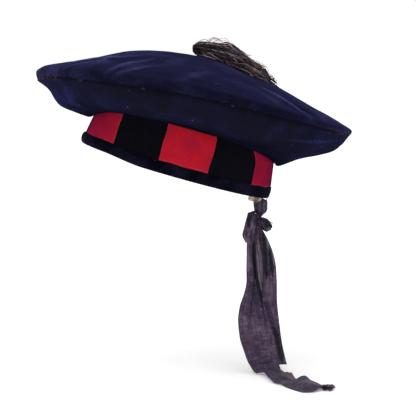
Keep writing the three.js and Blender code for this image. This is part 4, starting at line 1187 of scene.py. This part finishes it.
# A pale loop of thread at the right loop's edge
HOOK_LINE = [(96, -13.5, -53), (98.6, -14.5, -52.2), (101, -15, -52.6), (102, -15, -54.4)]
HOOK_RADIUS = 0.38


def build_ribbon():
    pieces = []
    for row in RIBBON_PIECES:
        piece, length = ribbon_piece(row)
        if row["name"] == "silk_loop_right":
            hook = smooth_lines([HOOK_LINE], 12)
            values = {"thread_radius": np.full((1, 12), HOOK_RADIUS * MM)}
            piece = joined(piece, grown("hook_thread", THREADS, hook, {"Finish": TAPE, "Sides": 5}, values))
        pieces.append((piece, row["node"], "silk_ribbon"))
    return pieces


def gathered_body(name, sections, material, pleats, seed):
    """A closed gathered body through round sections (x, y, z, wide, deep), with pleats running down it."""
    rows, sides = 60, 72
    shares = np.linspace(0, 1, rows)
    x, y, z, wide, deep = (along_rows(sections, column, shares)[:, None] for column in range(5))
    angle = full_turn(sides)
    pleat = 1 + 0.13 * np.sin(pleats * angle + seed + 2.5 * shares[:, None])
    pleat = pleat + 0.05 * np.sin(2.3 * pleats * angle)
    points = np.stack(
        [x + wide * np.cos(angle) * pleat, y + deep * np.sin(angle) * pleat, z + 0 * angle], axis=-1
    )
    ends = [points[0].mean(0), points[-1].mean(0)]
    index = np.arange(rows * sides).reshape(rows, sides)
    wrapped = np.concatenate([index, index[:, :1]], axis=1)
    faces = [list(face) for face in grid_faces(wrapped)]
    first, last = rows * sides, rows * sides + 1
    for j in range(sides):
        faces.append([first, wrapped[0, j + 1], wrapped[0, j]])
        faces.append([last, wrapped[-1, j], wrapped[-1, j + 1]])
    flat = np.concatenate([points.reshape(-1, 3), np.array(ends)])
    uv = np.stack([angle * 8 + 0 * pleat, shares[:, None] * 40 + 0 * pleat], axis=-1)
    uv = np.concatenate([uv.reshape(-1, 2), np.zeros((2, 2))])
    # Painted shade in the troughs of the pleats
    pleat_shade = np.concatenate([np.clip((1 - pleat) * 5, 0, 1).ravel(), [0, 0]])
    return mesh_object(name, flat, faces, material, uv, {"pleat_shade": pleat_shade})


# The knot's half-width and height at each of its sections, as shares
KNOT_PROFILE = [
    (0.02, 0.5), (0.6, 0.46), (0.95, 0.34), (1.0, 0.12),
    (0.97, -0.1), (1.0, -0.3), (0.7, -0.46), (0.02, -0.5),
]
# A dark thread end in front of the neck, and a faded one behind it
LOOSE_ENDS = [
    [(96.4, -8, -24), (95.6, -9, -29), (94.8, -9.5, -34), (94.2, -9.5, -39.5)],
    [(84.5, -8, -26), (83.2, -9.5, -30), (82.4, -10, -35), (82.6, -10, -40)],
]
# The gathered ribbon from the rim to the knot: down is a share of KNOT_DROP, the others of RIBBON_WIDTH
NECK = table("down right near wide deep", [
    (0.1, 0.17, 0, 0.05, 0.11),
    (0.15, 0.15, 0.01, 0.13, 0.12),
    (0.24, 0.135, 0.02, 0.175, 0.15),
    (0.38, 0.135, 0.02, 0.175, 0.17),
    (0.52, 0.14, 0.02, 0.17, 0.16),
    (0.64, 0.14, 0.01, 0.14, 0.12),
    (0.74, 0.125, 0, 0.085, 0.08),
    (0.82, 0.075, 0, 0.085, 0.07),
    (0.9, 0.03, 0, 0.075, 0.06),
])


def joined(piece, other):
    """One object of two, keeping the first one's name."""
    bpy.ops.object.select_all(action="DESELECT")
    for item in (piece, other):
        item.select_set(True)
    bpy.context.view_layer.objects.active = piece
    bpy.ops.object.join()
    piece.select_set(False)
    return piece


def build_neck_and_knot():
    held = []
    for up in (12, 6, 0):
        x, y, z = worn(band_point(np.radians(RIBBON_EXIT), up, RIBBON_INSIDE))
        held.append((x, y, z, 0.4, 4.2))
    hanging = [
        (
            KNOT[0] + row["right"] * RIBBON_WIDTH,
            KNOT[1] - row["near"] * RIBBON_WIDTH,
            RIBBON_EXIT_POINT[2] - row["down"] * KNOT_DROP,
            row["wide"] * RIBBON_WIDTH,
            row["deep"] * RIBBON_WIDTH,
        )
        for row in NECK
    ]
    neck = gathered_body("silk_neck", held + hanging, SILK_SHADED, 7, 0.5)
    ends = smooth_lines(LOOSE_ENDS, 14)
    values = {"thread_radius": np.full((2, 14), 0.4 * MM), "tint": np.repeat([[0.0], [0.8]], 14, axis=1)}
    neck = joined(neck, grown("loose_ends", THREADS, ends, {"Finish": THREAD, "Sides": 5}, values))
    rows = [
        (KNOT[0], KNOT[1], KNOT[2] + up * KNOT_HEIGHT, share * KNOT_WIDTH / 2, share * KNOT_WIDTH / 2)
        for share, up in KNOT_PROFILE
    ]
    knot = gathered_body("silk_knot", rows, SILK_SHADED, 5, 1.7)
    return [(neck, "ribbon_neck", "silk_ribbon"), (knot, "bow_knot", "silk_ribbon")]


# Toorie

TOORIE_LENGTH = 80
TOORIE_WIDTH = 42
TOORIE_THICKNESS = 27
TOORIE_HEAD = 15
TOORIE_FORWARD = 7.5
THREAD_COUNT = 800
THREAD_CLUMPS = 84
THREAD_STEPS = 26
STRAY_COUNT = 130
# The bundle's middle line from its tied head to its tip, and how full it is, as shares of the sizes above
TOORIE_LINE = table("along rise near size", [
    (-0.08, -0.02, 0, 0.42),
    (0, -0.05, 0, 0.55),
    (0.1, -0.12, 0.04, 0.62),
    (0.19, -0.21, 0.12, 0.72),
    (0.28, -0.33, 0.24, 0.86),
    (0.37, -0.39, 0.38, 1),
    (0.47, -0.54, 0.5, 1.06),
    (0.57, -0.75, 0.6, 1.02),
    (0.67, -0.96, 0.64, 0.94),
    (0.76, -1.14, 0.62, 0.92),
    (0.85, -1.3, 0.57, 0.86),
    (0.9, -1.43, 0.5, 0.74),
])


def crown_height(x, y):
    """The worn height of the crown's top at places seen from above, from samples of its surface."""
    points, _ = spline_at(top_controls(full_turn(180)), np.linspace(0, 0.9, 60)[:, None] + np.zeros(180))
    samples = worn(points).reshape(-1, 3)
    places = np.stack([np.ravel(x), np.ravel(y)], axis=1)
    out = np.empty(len(places))
    for i, place in enumerate(places):
        gap = np.sum((samples[:, :2] - place) ** 2, axis=1)
        near = np.argpartition(gap, 6)[:6]
        weight = 1 / (gap[near] + 0.5)
        out[i] = np.sum(samples[near, 2] * weight) / np.sum(weight)
    return out.reshape(np.shape(x))


def thread_tree():
    """Geometry nodes that turn lines into round threads, each with its own radius."""
    tree = bpy.data.node_groups.new("threads along lines", "GeometryNodeTree")
    sockets = {"Geometry": ("Geometry", None), "Thickness": ("Float", 1.0), "Sides": ("Int", 4),
               "Finish": ("Material", None)}
    for label, (kind, value) in sockets.items():
        socket = tree.interface.new_socket(name=label, in_out="INPUT", socket_type="NodeSocket" + kind)
        if value is not None:
            socket.default_value = value
    tree.interface.new_socket(name="Geometry", in_out="OUTPUT", socket_type="NodeSocketGeometry")
    given = tree.nodes.new("NodeGroupInput").outputs

    def step(kind, result, inputs):
        return add(tree, "GeometryNode" + kind, inputs).outputs[result]

    radius = reckon(tree, "MULTIPLY", step("InputNamedAttribute", "Attribute", {"Name": "thread_radius"}),
                    given["Thickness"])
    lines = step("MeshToCurve", "Curve", {"Mesh": given["Geometry"]})
    lines = step("SetCurveRadius", "Curve", {"Curve": lines, "Radius": radius})
    ring = step("CurvePrimitiveCircle", "Curve", {"Resolution": given["Sides"], "Radius": 1.0})
    tubes = add(tree, "GeometryNodeCurveToMesh", {"Curve": lines, "Profile Curve": ring, "Fill Caps": True})
    if "Scale" in tubes.inputs:
        tree.links.new(radius, tubes.inputs["Scale"])
    whole = step("SetShadeSmooth", "Geometry", {"Geometry": tubes.outputs["Mesh"]})
    whole = step("RealizeInstances", "Geometry", {"Geometry": whole})
    whole = step("SetMaterial", "Geometry", {"Geometry": whole, "Material": given["Finish"]})
    tree.links.new(whole, tree.nodes.new("NodeGroupOutput").inputs["Geometry"])
    return tree


THREADS = thread_tree()


def grown(name, tree, lines, settings, values=None, closed=False):
    """The mesh that a tree grows from lines of places in millimetres, as a plain object."""
    count, steps = lines.shape[:2]
    index = np.arange(count * steps).reshape(count, steps)
    ahead = np.roll(index, -1, axis=1)
    edges = np.stack([index, ahead], axis=-1) if closed else np.stack([index[:, :-1], index[:, 1:]], axis=-1)
    mesh = bpy.data.meshes.new(name)
    mesh.from_pydata((lines.reshape(-1, 3) * MM).tolist(), edges.reshape(-1, 2).tolist(), [])
    carry(mesh, values)
    guide = in_scene(name, mesh)
    modifier = guide.modifiers.new("growth", "NODES")
    modifier.node_group = tree
    for item in tree.interface.items_tree:
        if item.in_out == "INPUT" and item.name in settings:
            modifier[item.identifier] = settings[item.name]
    made = bpy.data.meshes.new_from_object(guide.evaluated_get(bpy.context.evaluated_depsgraph_get()))
    guide.modifiers.clear()
    guide.data = made
    guide.data.name = name
    return guide


def toorie_head():
    seat = worn(np.array([-TOORIE_FORWARD - CROWN_FORWARD, 0, BAND_HEIGHT + CROWN_DEPTH]))
    return seat + np.array([0, 0, TOORIE_HEAD / 2 + VELVET / 2 + GAP])


def bundle_place(share, across, up):
    """A place in the toorie's bundle: how far along, and where in its round section."""
    head = toorie_head()
    run = np.minimum(share, 1)
    beyond = np.maximum(share - 1, 0)
    size = along_rows(TOORIE_LINE, "size", run)
    x = head[0] + (along_rows(TOORIE_LINE, "along", run) + 1.05 * beyond) * TOORIE_LENGTH
    z = head[2] + (along_rows(TOORIE_LINE, "rise", run) - 2.3 * beyond) * TOORIE_THICKNESS
    y = head[1] + (across * size / 2 - along_rows(TOORIE_LINE, "near", run)) * TOORIE_WIDTH
    return np.stack([x, y, z + up * size * TOORIE_THICKNESS / 2], axis=-1)


def wander(rng, paths, share, curl):
    """Adds waves and crimps to threads, none at their tied ends."""
    count, steps = paths.shape[:2]
    free = np.clip(share * 3.5, 0, 1)
    for axis in range(3):
        slow, quick = rng.uniform(3, 7, (count, 1)), rng.uniform(12, 22, (count, 1))
        for waves, height in ((slow, curl), (quick, 0.4 * curl)):
            phase = rng.uniform(0, 6.28, (count, 1))
            strength = height * rng.uniform(0.3, 1.1, (count, 1))
            paths[..., axis] += strength * np.sin(waves * share * 3.1 + phase) * free
    paths += rng.normal(0, 0.14, paths.shape) * free[..., None]
    return paths


def fringe_paths(rng, count, steps, clumps):
    """Threads of the toorie's bundle in loose clumps about its middle line, not all of one length."""
    group = rng.integers(0, clumps, count)
    group_angle = rng.uniform(0, 2 * math.pi, clumps)
    group_radius = rng.uniform(0.1, 1, clumps) ** 0.5
    angle = (group_angle[group] + rng.normal(0, 0.2, count))[:, None]
    radius = np.clip(group_radius[group] + rng.normal(0, 0.08, count), 0, 1.06)[:, None]
    reach = (rng.uniform(0.76, 1.07, clumps)[group] + rng.normal(0, 0.025, count))[:, None]
    share = np.linspace(0, 1, steps)[None, :] * reach
    angle = angle + rng.normal(0, 0.55, (count, 1)) * np.sin(share * rng.uniform(1.5, 5, (count, 1)))
    radius = radius * (1 - 0.5 * np.exp(-((share / 0.045) ** 2)))
    # The tied head draws the threads in, and past it each clump swells, most of all at its frayed end
    swell = 1 + 0.14 * np.sin(share * rng.uniform(5, 11, clumps)[group][:, None] + angle * 3)
    swell += rng.uniform(-0.15, 0.5, clumps)[group][:, None] * np.clip((share - 0.66) / 0.34, 0, 1)
    paths = bundle_place(share, np.cos(angle) * radius * swell, np.sin(angle) * radius * swell)
    sway = rng.uniform(0, 6.28, (clumps, 1, 3))[group]
    paths += 0.9 * np.sin(share[..., None] * 6 + sway) * np.clip(share * 3, 0, 1)[..., None]
    return wander(rng, paths, share, 0.85), share


def stray_paths(rng, count, steps):
    """Fine loose threads that loop above the bundle or stick out of its sides and end."""
    lines = []
    share = np.linspace(0, 1, steps)
    for n in range(count):
        if n % 15 == 0:
            start = rng.uniform(0.0, 0.3)
            length = rng.uniform(0.16, 0.3)
            height = rng.uniform(1.25, 1.75)
            rise = np.sin(math.pi * share ** rng.uniform(0.7, 1.4)) * (height - 0.9) + 0.9
            across = rng.uniform(-0.6, 0.6) + 0.3 * np.sin(share * 3 + n)
            lines.append(bundle_place(start + length * share, across, rise))
        elif n % 3 == 1:
            start = rng.uniform(0.35, 0.75)
            angle = rng.uniform(0.1, math.pi - 0.1)
            out = 0.92 + np.sin(math.pi * share) * rng.uniform(0.08, 0.3)
            lines.append(bundle_place(start + 0.25 * share, np.cos(angle) * out, np.sin(angle) * out))
        else:
            start = rng.uniform(0.55, 0.97)
            angle = rng.uniform(0, 2 * math.pi)
            out = 0.85 + share * rng.uniform(0.15, 0.6)
            lines.append(bundle_place(start + 0.1 * share, np.cos(angle) * out, np.sin(angle) * out))
    paths = np.array(lines)
    for axis in range(3):
        waves, phase = rng.uniform(6, 14, (count, 1)), rng.uniform(0, 6, (count, 1))
        paths[..., axis] += 0.5 * np.sin(share * waves + phase) * share
    return paths + rng.normal(0, 0.1, paths.shape)


def build_toorie():
    rng = np.random.default_rng(7)
    paths, share = fringe_paths(rng, THREAD_COUNT, THREAD_STEPS, THREAD_CLUMPS)
    strays = stray_paths(rng, STRAY_COUNT, THREAD_STEPS)
    # Pale strands, partly thread that has lost its dye and partly painted highlights, paler near the head
    # than towards the tip
    fade_and_glint = np.clip(1.3 * rng.uniform(0, 1, (len(paths), 1)) ** 6, 0, 1)
    tints = fade_and_glint * np.clip((share - 0.04) / 0.14, 0.1, 1) * np.clip(1.35 - 0.7 * share, 0, 1.2)
    radii = rng.uniform(0.28, 0.52, (len(paths), 1)) * (1 - 0.25 * share) * (1 - 0.4 * fade_and_glint)
    fine = np.full(strays.shape[:2], 0.2)
    pale = np.repeat(rng.uniform(0.05, 0.6, (len(strays), 1)), THREAD_STEPS, axis=1)
    lines = np.concatenate([paths, strays])
    floor_z = crown_height(lines[..., 0], lines[..., 1]) + VELVET / 2 + 0.5
    lines[..., 2] = np.maximum(lines[..., 2], floor_z)
    values = {"thread_radius": np.concatenate([radii, fine]) * MM, "tint": np.concatenate([tints, pale])}
    fringe = grown("toorie_threads", THREADS, lines, {"Finish": THREAD, "Sides": 4}, values)
    return [(fringe, "toorie", "silk_fringe")]


# Stage, light and camera

# Metres, apart from the lens, which is in millimetres
FLOOR_RADIUS = 30
CAMERA_PLACE = (0.0, -1.678, 0.127)
CAMERA_AIM = (0.0344, 0, -0.0351)
CAMERA_LENS = 139.1


def build_stage():
    bpy.ops.mesh.primitive_circle_add(
        vertices=96, radius=FLOOR_RADIUS, fill_type="NGON", location=(0, 0, FLOOR_HEIGHT * MM)
    )
    floor = bpy.context.active_object
    floor.name = "floor"
    material, tree, shader = new_material("pale floor", 0.9)
    shader.inputs["Base Color"].default_value = (0.97, 0.97, 0.97, 1)
    shader.inputs["Emission Color"].default_value = (1, 1, 1, 1)
    shader.inputs["Emission Strength"].default_value = 0.2
    floor.data.materials.append(material)
    world = bpy.data.worlds.new("pale studio")
    world.use_nodes = True
    world.node_tree.nodes["Background"].inputs["Color"].default_value = (1, 1, 1, 1)
    world.node_tree.nodes["Background"].inputs["Strength"].default_value = 1.0
    bpy.context.scene.world = world
    bpy.context.scene.view_settings.view_transform = "Standard"


def aimed(item, place, aim):
    item.location = place
    item.rotation_euler = (Vector(aim) - Vector(place)).to_track_quat("-Z", "Y").to_euler()


def area_light(name, place, aim, size, power):
    data = bpy.data.lights.new(name, "AREA")
    data.energy = power
    data.size = size
    aimed(in_scene(name, data), place, aim)


def build_lights():
    area_light("soft light above", (-0.5, -0.5, 2.2), (0.02, 0, 0.05), size=1.6, power=16)
    area_light("front fill", (-1.2, -1.8, 0.5), (0.05, 0, 0), size=1.4, power=5)


def build_camera():
    data = bpy.data.cameras.new("camera")
    data.sensor_width = 36
    data.lens = CAMERA_LENS
    data.clip_end = 200
    camera = in_scene("camera", data)
    aimed(camera, CAMERA_PLACE, CAMERA_AIM)
    bpy.context.scene.camera = camera


build_camera()
made = build_crown() + [(edge_cord(), "edge_piping", "edge_piping")]
made += build_headband() + build_binding() + build_checks() + build_tab()
made += build_ribbon() + build_neck_and_knot() + build_toorie()
for piece, node, slot in made:
    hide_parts(node)
    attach(piece, "root")
build_stage()
build_lights()
